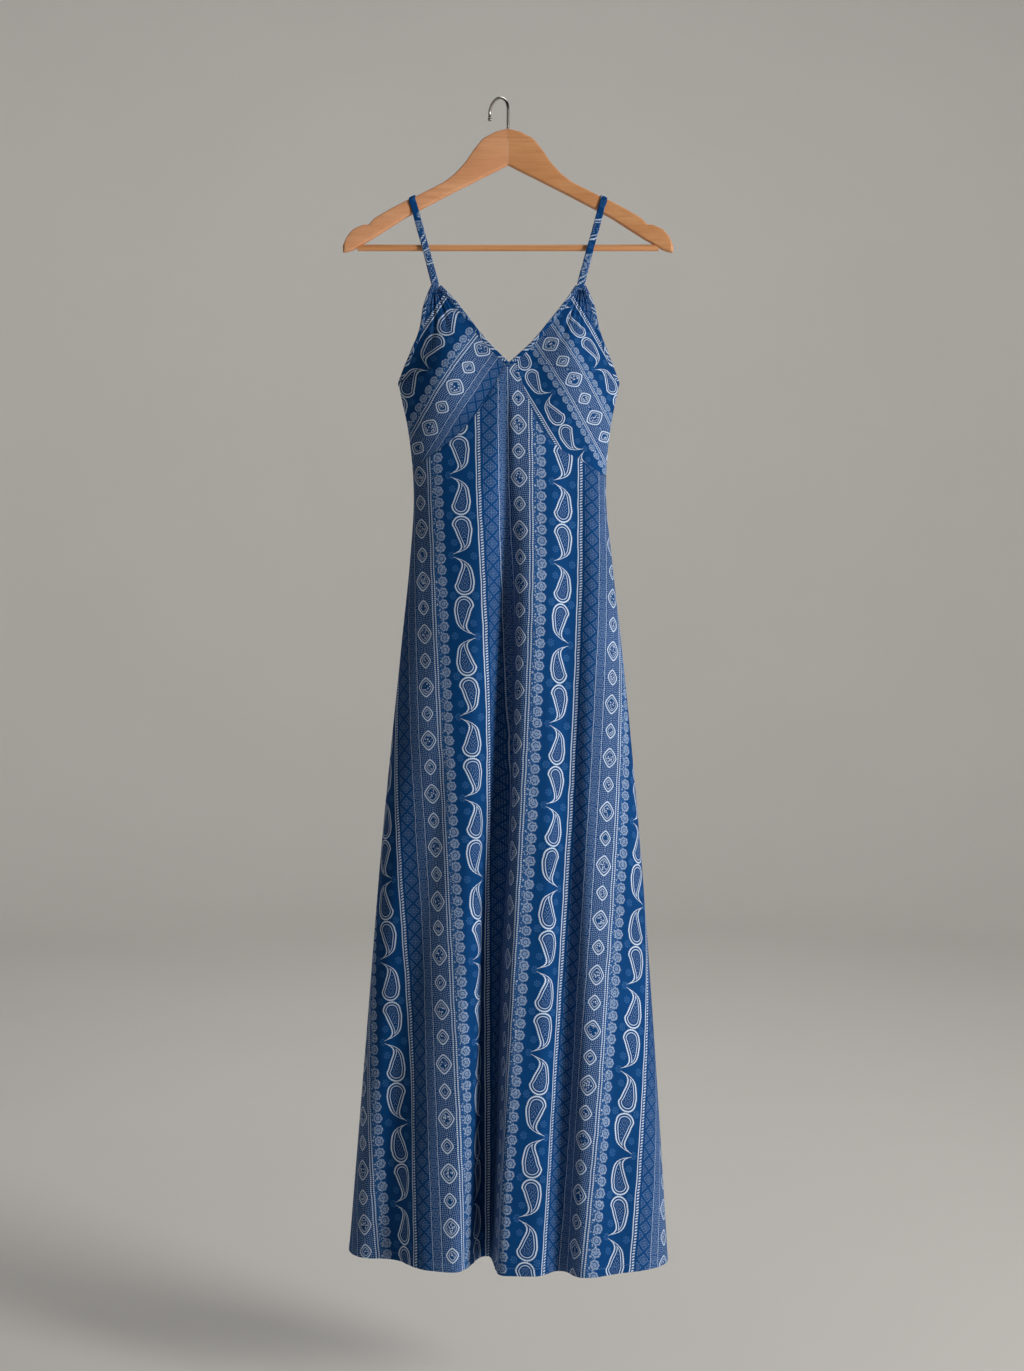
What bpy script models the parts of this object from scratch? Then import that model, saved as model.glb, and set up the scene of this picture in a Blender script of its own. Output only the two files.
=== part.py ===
"""Maxi slip dress hanging by its straps from a contoured wooden hanger.

Lengths here are in millimetres and to_object turns them into metres. X runs to the viewer's
right, Y runs away from the viewer and Z runs up. "drop" is a depth below the hook's inner top.
The hook's inner top is the origin; the hanging_point empty carries the pieces, which are
drawn about the hanger's middle, to their place beside it.
"""

import math
from collections import namedtuple

import bpy
import numpy as np

MM = 0.001

# Cloth
WALL = 1.4
HEM_WALL = 2.2
HEM_SHARE = 0.011
HEM_DEPTH = 16.0
SEAM_GAP = 0.3
BINDING_WIDTH = 6.0
BINDING_THICK = 2.4
STRAP_WIDTH = 9.5
STRAP_THICK = 2.0
HEM_DROP = 1565.0

# Grids: how many steps each cloth piece has
SEAM_STEPS = 20
SKIRT_ROWS = 22
BACK_STEPS = 36
BACK_ROWS = 20
CUP_STEPS = 12
NECK_STEPS = 14
ROW_SPREAD = 1.12
ARC_STEPS = 361
ROUND_SIDES = 12
BORE_SIDES = 20
HOOK_STEPS = 20
PAST_SEAM = 400.0

# Hanger
ARM_REACH = 222.5
ARM_SWEEP = 17.0
ARM_SWEEP_POWER = 1.3
ARM_THICK = 11.5
ARM_ROUND = 3.0
ARM_SLANT = -0.084
BAR_DROP = 207.6
BAR_RADIUS = 4.5
BAR_REACH = 203.0
HOOK_WIRE = 2.0
HOOK_RADIUS = 19.0
HOOK_TURN = math.radians(42.0)
HOOK_SWEEP = math.radians(190.0)
HOOK_TIP = 3.2
HOOK_TIP_TURNS = [130.0, 105.0, 80.0, 55.0, 30.0, 8.0]
HOOK_EASE = 4.0
HOOK_ROOT_DROP = 60.0

# The tube of the dress at each drop: where its side seams stand and how far the front and the
# back stand out from the line between them.
Section = namedtuple("Section", "drop left right left_y right_y front back")
SECTIONS = [
    Section(230, -151, 152, 0, 0, 27, 14),
    Section(387, -149, 151, 0, 0, 41, 27),
    Section(450, -136, 139, 0, 0, 45, 33),
    Section(540, -128, 133, 0, 0, 48, 38),
    Section(628, -133, 141, 0, -2, 53, 42),
    Section(737, -144, 153, 0, -6, 60, 48),
    Section(1008, -171, 178, 1, -16, 72, 60),
    Section(1280, -193, 197, 3, -27, 82, 70),
    Section(1565, -216, 214, 5, -38, 90, 80),
]

# Folds that grow from where they start to their full depth at the hem. A trough has a positive
# depth and goes into the tube, a ridge has a negative one. The widths are of the two flanks.
Fold = namedtuple("Fold", "start start_x hem_x start_left start_right hem_left hem_right depth grow")
FRONT_FOLDS = [
    Fold(455, 3, -27, 26, 20, 26, 10, 78, 0.95),
    Fold(470, 92, 69, 20, 16, 20, 14, 23, 0.45),
    Fold(470, 128, 102, 16, 18, 14, 24, -8, 0.60),
    Fold(880, -112, -152, 26, 26, 36, 26, 30, 0.80),
]
BACK_FOLDS = [
    Fold(560, -30, -98, 20, 20, 24, 26, 46, 0.90),
    Fold(520, 8, -8, 18, 18, 22, 26, 30, 0.80),
    Fold(600, 40, 84, 20, 20, 26, 22, 48, 0.90),
    Fold(820, 96, 156, 24, 20, 22, 24, 22, 0.90),
]

# Edges of the bodice, drawn on the front as the viewer sees them.
EdgePoint = namedtuple("EdgePoint", "x drop")
NECK_POINT = EdgePoint(1.4, 364.5)
NECK_EDGE = {
    -1: [EdgePoint(-90, 259), EdgePoint(-73, 277), EdgePoint(-49, 308), EdgePoint(-28, 335), NECK_POINT],
    1: [EdgePoint(91, 259), EdgePoint(79, 277), EdgePoint(55, 308), EdgePoint(33, 335), NECK_POINT],
}
ARM_EDGE = {
    -1: [EdgePoint(-104, 259), EdgePoint(-113, 281), EdgePoint(-121, 322), EdgePoint(-132, 348),
         EdgePoint(-149, 387)],
    1: [EdgePoint(105, 259), EdgePoint(115, 281), EdgePoint(125, 322), EdgePoint(135, 348),
        EdgePoint(151, 387)],
}
BODICE_SEAM = {
    -1: [EdgePoint(-6, 370), EdgePoint(-20, 398), EdgePoint(-42, 434), EdgePoint(-71, 465),
         EdgePoint(-98, 485), EdgePoint(-129, 506)],
    1: [EdgePoint(12, 367), EdgePoint(22, 400), EdgePoint(39, 445), EdgePoint(64, 476),
        EdgePoint(98, 495), EdgePoint(133, 517)],
}
CUP_FULLNESS = 17.0
CUP_MIDDLE = EdgePoint(70, 385)
CUP_SPREAD = EdgePoint(46, 66)
CUP_START = 0.4
CUP_CLEAR = 0.1
CUP_CORNER = 3.0
CUP_EDGE_RISE = 8.0
CUP_EDGE_POWER = 0.6
GATHER_COUNT = 5
GATHER_HEIGHT = 2.0
GATHER_BELOW = 34.0
GATHER_SPREAD = 40.0
NECK_MITRE = 1.42
BACK_EDGE_SIDE = 388.0
BACK_EDGE_DIP = 9.0
BACK_HALF_WIDTH = 148.0
BACK_STRAP_X = 66.0
BINDING_CORNERS = [("outer", -0.6), ("outer", 0.6), ("middle", 1.0), ("inner", 0.6), ("inner", -0.6),
                   ("middle", -1.0)]

# The strap's line: in front, depths from the cup's top; behind, depths from the hanger's middle.
StrapRow = namedtuple("StrapRow", "out y drop tilt")
STRAP_REST = 129.5
STRAP_FOOT = 258.6
STRAP_FOOT_X = 97.0
STRAP_CLEAR = 0.45
STRAP_BACK_GAP = 0.5
STRAP_BACK_LIFT = 0.6
STRAP_ARM_DROP = 163.0
STRAP_FRONT = [
    StrapRow(97.5, 0.6, STRAP_FOOT, 0.0), StrapRow(99.6, -0.6, 250, 0.27), StrapRow(104.5, -1.2, 232, 0.27),
    StrapRow(111.4, -0.8, 207, 0.27), StrapRow(118.5, 2.0, 182, 0.32),
]
STRAP_BACK = [
    StrapRow(117.5, 2.6, 184, 0.26), StrapRow(107, 6.4, 224, 0.25), StrapRow(92, 12.5, 284, 0.25),
    StrapRow(76, 20.5, 349, 0.25),
]
# Beside the arm the strap's depths are from the arm's two faces.
STRAP_BY_ARM = StrapRow(127.0, 0.0, 150.0, 0.0)
STRAP_UNDER_ARM_FRONT = StrapRow(123.6, -0.8, 162.0, 0.38)
STRAP_UNDER_ARM_BACK = StrapRow(123.6, 0.6, 162.0, 0.36)
STRAP_CORNERS = [(-1, -0.5), (-0.7, -1), (0.7, -1), (1, -0.5), (1, 0.5), (0.7, 1), (-0.7, 1), (-1, 0.5)]

# One arm of the hanger: its top and bottom edges at each distance from the middle.
ArmRow = namedtuple("ArmRow", "out top bottom")
ARM_ROWS = [
    ArmRow(0.15, 43.4, 92.5), ArmRow(16, 47.3, 101), ArmRow(34, 57, 110), ArmRow(46, 72, 116.4),
    ArmRow(58, 90, 122.6), ArmRow(72, 105.5, 129.8), ArmRow(86, 116.5, 137.3),
    ArmRow(105, 126.5, 147.6), ArmRow(124, 136.5, 157.9), ArmRow(138, 143, 165.6),
    ArmRow(159, 154.5, 179.5), ArmRow(178, 166, 192), ArmRow(183, 170, 195.2),
    ArmRow(187, 176.3, 197.6), ArmRow(195, 176.4, 202.2), ArmRow(209, 183, 211),
    ArmRow(218, 194, 213.8), ArmRow(ARM_REACH, 206, 214.4),
]


def clear_scene():
    for thing in list(bpy.data.objects):
        bpy.data.objects.remove(thing, do_unlink=True)


def material(name, colour, roughness, metallic=0.0):
    finish = bpy.data.materials.new(name)
    finish.use_nodes = True
    shader = finish.node_tree.nodes["Principled BSDF"]
    shader.inputs["Base Color"].default_value = (*colour, 1.0)
    shader.inputs["Roughness"].default_value = roughness
    shader.inputs["Metallic"].default_value = metallic
    return finish


def enclosed_volume(points, faces):
    """Volume inside the faces, negative where they point inwards."""
    fans = np.array([(f[0], f[k], f[k + 1]) for f in faces for k in range(1, len(f) - 1)])
    a, b, c = points[fans[:, 0]], points[fans[:, 1]], points[fans[:, 2]]
    return float(np.einsum("ij,ij->i", a, np.cross(b, c)).sum() / 6)


def to_object(name, points, faces, finish, carrier):
    """One closed body from points in millimetres and the faces between them."""
    points = np.asarray(points) * MM
    faces = [[int(corner) for corner in face] for face in faces]
    if enclosed_volume(points, faces) < 0:
        faces = [face[::-1] for face in faces]
    mesh = bpy.data.meshes.new(name)
    mesh.from_pydata(points.tolist(), [], faces)
    mesh.validate()
    mesh.materials.append(finish)
    mesh.shade_smooth()
    mesh.set_sharp_from_angle(angle=math.radians(40.0))
    thing = bpy.data.objects.new(name, mesh)
    bpy.context.scene.collection.objects.link(thing)
    thing.parent = carrier
    return thing


def through(stations, values, at):
    """A smooth curve through a table: cubic pieces, each row's slope taken from its neighbours."""
    stations = np.asarray(stations, float)
    values = np.asarray(values, float)
    slope = np.gradient(values, stations)
    at = np.asarray(at, float)
    row = np.clip(np.searchsorted(stations, at) - 1, 0, len(stations) - 2)
    step = stations[row + 1] - stations[row]
    t = (at - stations[row]) / step
    ends = values[row] * (1 + 2 * t) * (1 - t) ** 2 + values[row + 1] * t * t * (3 - 2 * t)
    bends = slope[row] * t * (1 - t) ** 2 - slope[row + 1] * t * t * (1 - t)
    return ends + step * bends


def column(field, drop):
    """One column of the section table at any drop."""
    return through([s.drop for s in SECTIONS], [getattr(s, field) for s in SECTIONS], drop)


def fold_push(x, drop, folds):
    """How far the folds push the cloth into the tube at x: each is a soft bump with uneven flanks."""
    push = np.zeros(np.broadcast(x, drop).shape)
    for fold in folds:
        grown = np.clip((drop - fold.start) / (HEM_DROP - fold.start), 0.0, 1.0)
        away = x - (fold.start_x + (fold.hem_x - fold.start_x) * grown)
        left = fold.start_left + (fold.hem_left - fold.start_left) * grown
        right = fold.start_right + (fold.hem_right - fold.start_right) * grown
        reach = np.where(away < 0, left, right)
        push = push + fold.depth * grown ** fold.grow * np.exp(-np.abs(away / reach) ** 2.6)
    return push


def tube_point(angle, drop):
    """The tube's surface. The angle runs from 0 at the left seam over the front to pi at the right
    seam and on round the back to two pi: an ellipse about the seams, with the folds pushed in."""
    angle, drop = np.broadcast_arrays(np.asarray(angle, float), np.asarray(drop, float))
    left, right = column("left", drop), column("right", drop)
    x = (left + right) / 2 - (right - left) / 2 * np.cos(angle)
    share = (x - left) / (right - left)
    seam_y = column("left_y", drop) * (1 - share) + column("right_y", drop) * share
    lean = np.sin(angle)
    fade = np.sqrt(np.abs(lean))
    front = seam_y - column("front", drop) * lean + fade * fold_push(x, drop, FRONT_FOLDS)
    back = seam_y - column("back", drop) * lean - fade * fold_push(x, drop, BACK_FOLDS)
    return np.stack([x, np.where(lean >= 0, front, back), -drop], axis=-1)


def tube_normal(angle, drop):
    """Outward normal of the plain tube, by small steps round it and down it."""
    turn, fall = 1e-3, 0.5
    round_it = tube_point(angle + turn, drop) - tube_point(angle - turn, drop)
    down_it = tube_point(angle, drop + fall) - tube_point(angle, drop - fall)
    normal = np.cross(down_it, round_it)
    return normal / np.linalg.norm(normal, axis=-1, keepdims=True)


def angle_at(x, drop):
    """The angle on the front that stands at x."""
    left, right = column("left", drop), column("right", drop)
    return np.arccos(np.clip(((left + right) / 2 - x) / ((right - left) / 2), -1.0, 1.0))


def angle_at_share(share, drop, start, aside=0.0):
    """The angle at which a share of the arc from start to start + pi has been walked, or a little
    aside of that where the two solids of one panel part."""
    fine = start + np.linspace(0.0, math.pi, ARC_STEPS)
    ring = tube_point(fine, np.full(fine.shape, drop))
    walked = np.concatenate([[0.0], np.cumsum(np.linalg.norm(np.diff(ring, axis=0), axis=1))])
    return np.interp(share * walked[-1] + aside, walked, fine)


def share_at_angle(angle, drop):
    """The share of the front's arc that has been walked at an angle."""
    fine = np.linspace(0.0, math.pi, ARC_STEPS)
    ring = tube_point(fine, np.full(fine.shape, drop))
    walked = np.concatenate([[0.0], np.cumsum(np.linalg.norm(np.diff(ring, axis=0), axis=1))])
    return np.interp(angle, fine, walked) / walked[-1]


def grid_normal(grid):
    """Outward normal of a grid whose rows go down and whose columns go along increasing angle."""
    down_it = np.gradient(grid, axis=0)
    round_it = np.gradient(grid, axis=1)
    normal = np.cross(down_it, round_it)
    return normal / np.linalg.norm(normal, axis=-1, keepdims=True)


def wall(name, outer, rim_normal, thickness, finish, carrier):
    """A closed cloth wall: the outer grid, the same grid moved in, and a rim round both. The rim
    takes the plain tube's normals, so that two pieces that meet at a seam have parallel edges."""
    rows, columns = outer.shape[:2]
    normal = grid_normal(outer)
    rim = np.zeros((rows, columns), bool)
    rim[[0, -1], :] = True
    rim[:, [0, -1]] = True
    normal[rim] = rim_normal[rim]
    inner = outer - normal * thickness[..., None]
    count = rows * columns
    index = np.arange(count).reshape(rows, columns)
    a, b, c, d = index[:-1, :-1], index[1:, :-1], index[1:, 1:], index[:-1, 1:]
    skin = np.concatenate([np.stack([a, b, c], -1).reshape(-1, 3), np.stack([a, c, d], -1).reshape(-1, 3)])
    edge = np.concatenate([index[:-1, 0], index[-1, :-1], index[:0:-1, -1], index[0, :0:-1]])
    ahead = np.roll(edge, -1)
    band = np.concatenate([
        np.stack([ahead, edge, edge + count], -1), np.stack([ahead, edge + count, ahead + count], -1)])
    faces = np.concatenate([skin, skin[:, ::-1] + count, band])
    points = np.concatenate([outer.reshape(-1, 3), inner.reshape(-1, 3)])
    return to_object(name, points, faces, finish, carrier)


def loft(name, rings, finish, carrier):
    """A closed bar through rings of equally many points, with flat ends."""
    rings = np.asarray(rings)
    count, sides = rings.shape[:2]
    index = np.arange(count * sides).reshape(count, sides)
    onward = np.roll(index, -1, axis=1)
    a, b, c, d = index[:-1], onward[:-1], onward[1:], index[1:]
    skin = np.concatenate([np.stack([a, b, c], -1).reshape(-1, 3), np.stack([a, c, d], -1).reshape(-1, 3)])
    faces = [*skin.tolist(), index[0, ::-1].tolist(), index[-1].tolist()]
    return to_object(name, rings.reshape(-1, 3), faces, finish, carrier)


def top_edge():
    """The skirt's peaked top: stations along both bodice seams and under the neck binding."""
    edge = []
    for side in (-1, 1):
        seam = BODICE_SEAM[side]
        outward = np.array([abs(p.x) for p in seam], float)
        x = np.linspace(seam[0].x, seam[-1].x, SEAM_STEPS)
        drop = through(outward, [p.drop for p in seam], np.abs(x))
        edge.append(np.stack([x, drop], -1))
    middle = np.array([[NECK_POINT.x, NECK_POINT.drop + BINDING_WIDTH * NECK_MITRE]])
    return np.concatenate([edge[0][::-1], middle, edge[1]])


def skirt_drops(top, rows):
    """Rows between the top edge and the hem, the last two spanning the turned hem."""
    share = np.append(np.linspace(0.0, 1.0, rows) ** ROW_SPREAD * (1 - HEM_SHARE), 1.0)
    return top[None, :] + (HEM_DROP - top[None, :]) * share[:, None]


def hem_thickness(drop):
    return np.where(drop > HEM_DROP - HEM_DEPTH, HEM_WALL, WALL)


def skirt_panel(name, share, top, start, stand_out, rows, finish, carrier):
    """One half of the skirt's front or back. Each column keeps its share of the arc from side seam
    to side seam on the way down, so that the panel flares and its folds swallow the width they
    need. Its edges stay half a gap clear of the side seam and of the other half."""
    drops = skirt_drops(top, rows)
    angles = np.empty_like(drops)
    aside = np.zeros(len(share))
    if share[0] > 0.0:
        aside[0] = SEAM_GAP / 2
    if share[-1] < 1.0:
        aside[-1] = -SEAM_GAP / 2
    for row in range(drops.shape[0]):
        for step in range(drops.shape[1]):
            angles[row, step] = angle_at_share(share[step], drops[row, step], start, aside[step])
    half_gap = SEAM_GAP / 2 / column(stand_out, drops)
    if share[0] == 0.0:
        angles[:, 0] = start + half_gap[:, 0]
    if share[-1] == 1.0:
        angles[:, -1] = start + math.pi - half_gap[:, -1]
    return wall(name, tube_point(angles, drops), tube_normal(angles, drops),
                hem_thickness(drops), finish, carrier)


def front_skirt(finish, carrier):
    """The long front: one panel of cloth with no seam in it, kept as two solids that part under the
    neck's point, so that what collides can follow its deep folds."""
    edge = top_edge()
    top_angle = angle_at(edge[:, 0], edge[:, 1])
    share = np.array([share_at_angle(a, d) for a, d in zip(top_angle, edge[:, 1])])
    share[[0, -1]] = 0.0, 1.0
    top = edge[:, 1] + SEAM_GAP
    for word, half in (("left", slice(None, SEAM_STEPS + 1)), ("right", slice(SEAM_STEPS, None))):
        skirt_panel("front_skirt_" + word, share[half], top[half], 0.0, "front", SKIRT_ROWS,
                    finish, carrier)


def back_edge(share):
    """Drop of the back's bound top edge, a shallow dip between the side seams."""
    return BACK_EDGE_SIDE + BACK_EDGE_DIP * np.sin(np.pi * share) ** 1.5


def back_skirt(finish, carrier):
    """The back from its bound top edge to the hem: one panel of cloth, kept as two solids that part
    in its middle, as the front's do."""
    share = np.linspace(0.0, 1.0, BACK_STEPS + 1)
    top = back_edge(share) + BINDING_WIDTH + SEAM_GAP
    middle = BACK_STEPS // 2
    for word, half in (("right", slice(None, middle + 1)), ("left", slice(middle, None))):
        skirt_panel("back_panel_" + word, share[half], top[half], math.pi, "back", BACK_ROWS,
                    finish, carrier)


def edge_curve(points, count):
    """Evenly spaced points on the smooth curve through an edge's points."""
    points = np.array(points, float)
    walked = np.concatenate([[0.0], np.cumsum(np.linalg.norm(np.diff(points, axis=0), axis=1))])
    at = np.linspace(0.0, walked[-1], count)
    return np.stack([through(walked, points[:, 0], at), through(walked, points[:, 1], at)], -1)


def moved_aside(curve, distance, side):
    """A curve moved in its own plane towards the middle of the cup that it bounds."""
    along = np.gradient(curve, axis=0)
    along = along / np.linalg.norm(along, axis=1, keepdims=True)
    return curve + side * distance * np.stack([-along[:, 1], along[:, 0]], -1)


def neck_curve(side, distance):
    """The neck edge moved into the cup, ending on the middle line of the neck point."""
    curve = moved_aside(edge_curve(NECK_EDGE[side], NECK_STEPS + 1), distance, -side)
    last, before = curve[-1], curve[-2]
    reach = (NECK_POINT.x + side * SEAM_GAP / 2 - before[0]) / (last[0] - before[0])
    curve[-1] = before + (last - before) * reach
    return curve


def arm_curve(side, distance):
    """The armhole edge moved into the cup, ending on the side seam."""
    curve = moved_aside(edge_curve(ARM_EDGE[side], NECK_STEPS + 1), distance, side)
    curve[-1, 0] = side * PAST_SEAM
    curve[-1, 1] = ARM_EDGE[side][-1].drop + distance
    return curve


def front_angle(curve):
    """Angles of a curve's points on the front, held just off the side seams."""
    angle = angle_at(curve[:, 0], curve[:, 1])
    gap = SEAM_GAP / 2 / column("front", curve[:, 1])
    return np.clip(angle, gap, math.pi - gap)


def cup(side, name, finish, carrier):
    """One cup: rows run from the armhole edge to the neck edge above, and from the side seam to
    the bodice seam below. The cloth between is pushed forward and gathered towards the strap."""
    inset = BINDING_WIDTH + SEAM_GAP + CUP_CLEAR
    neck = neck_curve(side, inset)
    arm = arm_curve(side, inset)
    neck[0] += (neck[1] - neck[0]) * CUP_START
    arm[0] += (arm[1] - arm[0]) * CUP_START
    edge = top_edge()
    seam = edge[SEAM_STEPS - 1::-1] if side < 0 else edge[SEAM_STEPS + 1:]
    seam = seam - np.array([0.0, SEAM_GAP])
    low = seam[-1, 1] - CUP_CORNER
    seam[-1] = [seam[-1, 0] - side * CUP_CORNER, low]
    neck = neck[:-1]
    arm = arm[:-1]
    side_drop = np.linspace(ARM_EDGE[side][-1].drop + inset, low, SEAM_STEPS)
    inner = np.concatenate([neck, seam])
    outer_edge = np.concatenate([arm, np.stack([np.full(SEAM_STEPS, side * PAST_SEAM), side_drop], -1)])
    inner_angle, outer_angle = front_angle(inner), front_angle(outer_edge)
    p = np.linspace(0.0, 1.0, CUP_STEPS + 1)[None, :]
    angles = outer_angle[:, None] * (1 - p) + inner_angle[:, None] * p
    drops = outer_edge[:, 1][:, None] * (1 - p) + inner[:, 1][:, None] * p
    q = np.linspace(0.0, 1.0, len(inner))[:, None]
    flat = tube_point(angles, drops)
    normal = tube_normal(angles, drops)
    beside = (flat[..., 0] - side * CUP_MIDDLE.x) / CUP_SPREAD.x
    below = (drops - CUP_MIDDLE.drop) / CUP_SPREAD.drop
    ends = np.minimum(1.0, CUP_EDGE_RISE * q) * np.minimum(1.0, CUP_EDGE_RISE * (1 - q))
    edge_fade = (np.sin(np.pi * p) ** 2 * ends) ** CUP_EDGE_POWER * np.where((p > 0) & (p < 1), 1.0, 0.0)
    full = CUP_FULLNESS * np.exp(-beside ** 2 - below ** 2)
    near_strap = np.exp(-((drops - STRAP_FOOT - GATHER_BELOW) / GATHER_SPREAD) ** 2)
    gather = GATHER_HEIGHT * near_strap * np.cos(2 * np.pi * GATHER_COUNT * p)
    surface = flat + normal * ((full + gather) * edge_fade)[..., None]
    if side > 0:
        surface, normal = surface[:, ::-1], normal[:, ::-1]
    return wall(name, surface, normal, np.full(surface.shape[:2], WALL), finish, carrier)


def binding_rings(outer_points, inner_points, normal):
    """Six-sided rings between the two edges of a binding, thickest along its middle."""
    lines = {"outer": outer_points, "inner": inner_points, "middle": (outer_points + inner_points) / 2}
    thick = BINDING_THICK / 2
    centre_shift = -normal * (WALL / 2)
    corners = [lines[line] + centre_shift + normal * (lift * thick) for line, lift in BINDING_CORNERS]
    return np.stack(corners, axis=1)


def front_binding(name, outer_curve, inner_curve, finish, carrier):
    """A bound edge of a cup, from the strap to the edge's far end."""
    outer_angle, inner_angle = front_angle(outer_curve), front_angle(inner_curve)
    outer_points = tube_point(outer_angle, outer_curve[:, 1])
    inner_points = tube_point(inner_angle, inner_curve[:, 1])
    normal = tube_normal((outer_angle + inner_angle) / 2, (outer_curve[:, 1] + inner_curve[:, 1]) / 2)
    return loft(name, binding_rings(outer_points, inner_points, normal), finish, carrier)


def back_binding(finish, carrier):
    """The bound top edge of the back, from side seam to side seam."""
    share = np.linspace(0.0, 1.0, BACK_STEPS + 1)
    top = back_edge(share)
    angle = np.array([angle_at_share(s, d, math.pi) for s, d in zip(share, top)])
    half_gap = SEAM_GAP / 2 / column("back", top)
    angle[0] = math.pi + half_gap[0]
    angle[-1] = 2 * math.pi - half_gap[-1]
    outer_points = tube_point(angle, top)
    inner_points = tube_point(angle, top + BINDING_WIDTH)
    rings = binding_rings(outer_points, inner_points, tube_normal(angle, top + BINDING_WIDTH / 2))
    return loft("back_binding", rings, finish, carrier)


def arm_y(out):
    """Forward sweep of the hanger's arms."""
    return -ARM_SWEEP * (np.abs(out) / ARM_REACH) ** ARM_SWEEP_POWER


def arm_edge(field, out):
    return np.interp(out, [r.out for r in ARM_ROWS], [getattr(r, field) for r in ARM_ROWS])


def strap_line():
    """The strap's centre line from the cup's top, up the front, over the arm and down to the back's
    top edge, as rows of how far out it is, its depth, its drop and how its width tilts."""
    rest = float(arm_edge("top", STRAP_REST))
    slope = float(arm_edge("top", STRAP_REST + 5) - arm_edge("top", STRAP_REST - 5)) / 10
    middle_y = float(arm_y(STRAP_REST))
    flat = ARM_THICK / 2 - ARM_ROUND
    reach = ARM_ROUND + STRAP_CLEAR + STRAP_THICK / 2
    over = [
        (STRAP_REST, middle_y + way * flat - reach * math.cos(turn),
         rest + ARM_ROUND - reach * math.sin(turn), slope)
        for way, turns in ((-1, (0, 30, 60, 90)), (1, (90, 120, 150, 180)))
        for turn in np.radians(turns)
    ]
    front_face = middle_y - flat - reach
    rear_face = middle_y + flat + reach
    back_top = float(back_edge(0.5 - 0.5 * BACK_STRAP_X / BACK_HALF_WIDTH)) - STRAP_BACK_GAP
    back_y = float(tube_point(angle_at(BACK_STRAP_X, back_top) + math.pi, back_top)[1])
    foot_y = float(tube_point(angle_at(STRAP_FOOT_X, STRAP_FOOT), STRAP_FOOT)[1])
    front = [(row.out, row.y + foot_y, row.drop, row.tilt) for row in STRAP_FRONT]
    under, by_arm = STRAP_UNDER_ARM_FRONT, STRAP_BY_ARM
    front += [(under.out, front_face + under.y, under.drop, under.tilt),
              (by_arm.out, front_face, by_arm.drop, slope)]
    under = STRAP_UNDER_ARM_BACK
    rear = [(by_arm.out, rear_face, by_arm.drop, slope),
            (under.out, rear_face + under.y, under.drop, under.tilt)]
    rear += [(row.out, row.y, row.drop, row.tilt) for row in STRAP_BACK]
    rear += [(BACK_STRAP_X, back_y - STRAP_BACK_LIFT, back_top, 0.0)]
    return np.array(front + over + rear)


def strap(side, name, finish, carrier):
    """A flat strap lofted along its line, its width lying along the arm where it crosses it."""
    line = strap_line()
    centre = np.stack([side * line[:, 0], line[:, 1], -line[:, 2]], -1)
    tilt = line[:, 3]
    sweep = np.where(line[:, 2] < STRAP_ARM_DROP, ARM_SLANT, 0.0)
    wide = np.stack([np.full(len(tilt), side * 1.0), sweep, -tilt], -1)
    wide = wide / np.linalg.norm(wide, axis=1, keepdims=True)
    along = np.gradient(centre, axis=0)
    thick = np.cross(wide, along)
    thick = thick / np.linalg.norm(thick, axis=1, keepdims=True)
    thick[[0, -1]] = [0, -side * 1.0, 0], [0, side * 1.0, 0]
    corners = []
    for across, lift in STRAP_CORNERS:
        corners.append(centre + wide * across * STRAP_WIDTH / 2 + thick * lift * STRAP_THICK / 2)
    return loft(name, np.stack(corners, axis=1), finish, carrier)


def rounded_ring(x, y, row, radius):
    """A rounded rectangle across the arm: three points to each corner."""
    half = ARM_THICK / 2 - radius
    corners = ((-half, row.top + radius, 0.0), (half, row.top + radius, 0.5),
               (half, row.bottom - radius, 1.0), (-half, row.bottom - radius, 1.5))
    ring = []
    for across, drop, start in corners:
        for step in (0.0, 0.25, 0.5):
            turn = (start + step) * math.pi
            ring.append([x, y + across - radius * math.cos(turn), -drop + radius * math.sin(turn)])
    return ring


def hanger_arm(side, name, finish, carrier):
    """One contoured arm: rounded rectangles along its reach, swept forward, with the bar's socket
    and half of the hook's hole cut into it."""
    rings = []
    for row in ARM_ROWS:
        radius = min(ARM_ROUND, (row.bottom - row.top) * 0.3)
        rings.append(rounded_ring(side * row.out, float(arm_y(row.out)), row, radius))
    arm = loft(name, rings, finish, carrier)
    bore(arm, "bar_socket_cutter", BAR_RADIUS + SEAM_GAP, 2 * (BAR_REACH + SEAM_GAP),
         (0.0, bar_y(), -BAR_DROP), (0.0, math.pi / 2, 0.0), carrier)
    bore(arm, "hook_hole_cutter", HOOK_WIRE + SEAM_GAP, 2 * (HOOK_ROOT_DROP + SEAM_GAP),
         (0.0, 0.0, 0.0), (0.0, 0.0, 0.0), carrier)
    return arm


def bar_y():
    return float(arm_y(BAR_REACH))


def bore(thing, name, radius, length, centre, turn, carrier):
    """A round hole through a piece, cut by a hidden cylinder."""
    cutter = bpy.data.objects.get(name)
    if cutter is None:
        angle = np.linspace(0.0, 2 * np.pi, BORE_SIDES, endpoint=False)
        rings = [np.stack([radius * np.cos(angle), radius * np.sin(angle), np.full(BORE_SIDES, z)], -1)
                 for z in (-length / 2, length / 2)]
        cutter = loft(name, rings, thing.data.materials[0], carrier)
        cutter.location = [c * MM for c in centre]
        cutter.rotation_euler = turn
        cutter.hide_render = True
        cutter.display_type = "WIRE"
    cut = thing.modifiers.new(name, "BOOLEAN")
    cut.operation = "DIFFERENCE"
    cut.solver = "EXACT"
    cut.object = cutter


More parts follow.
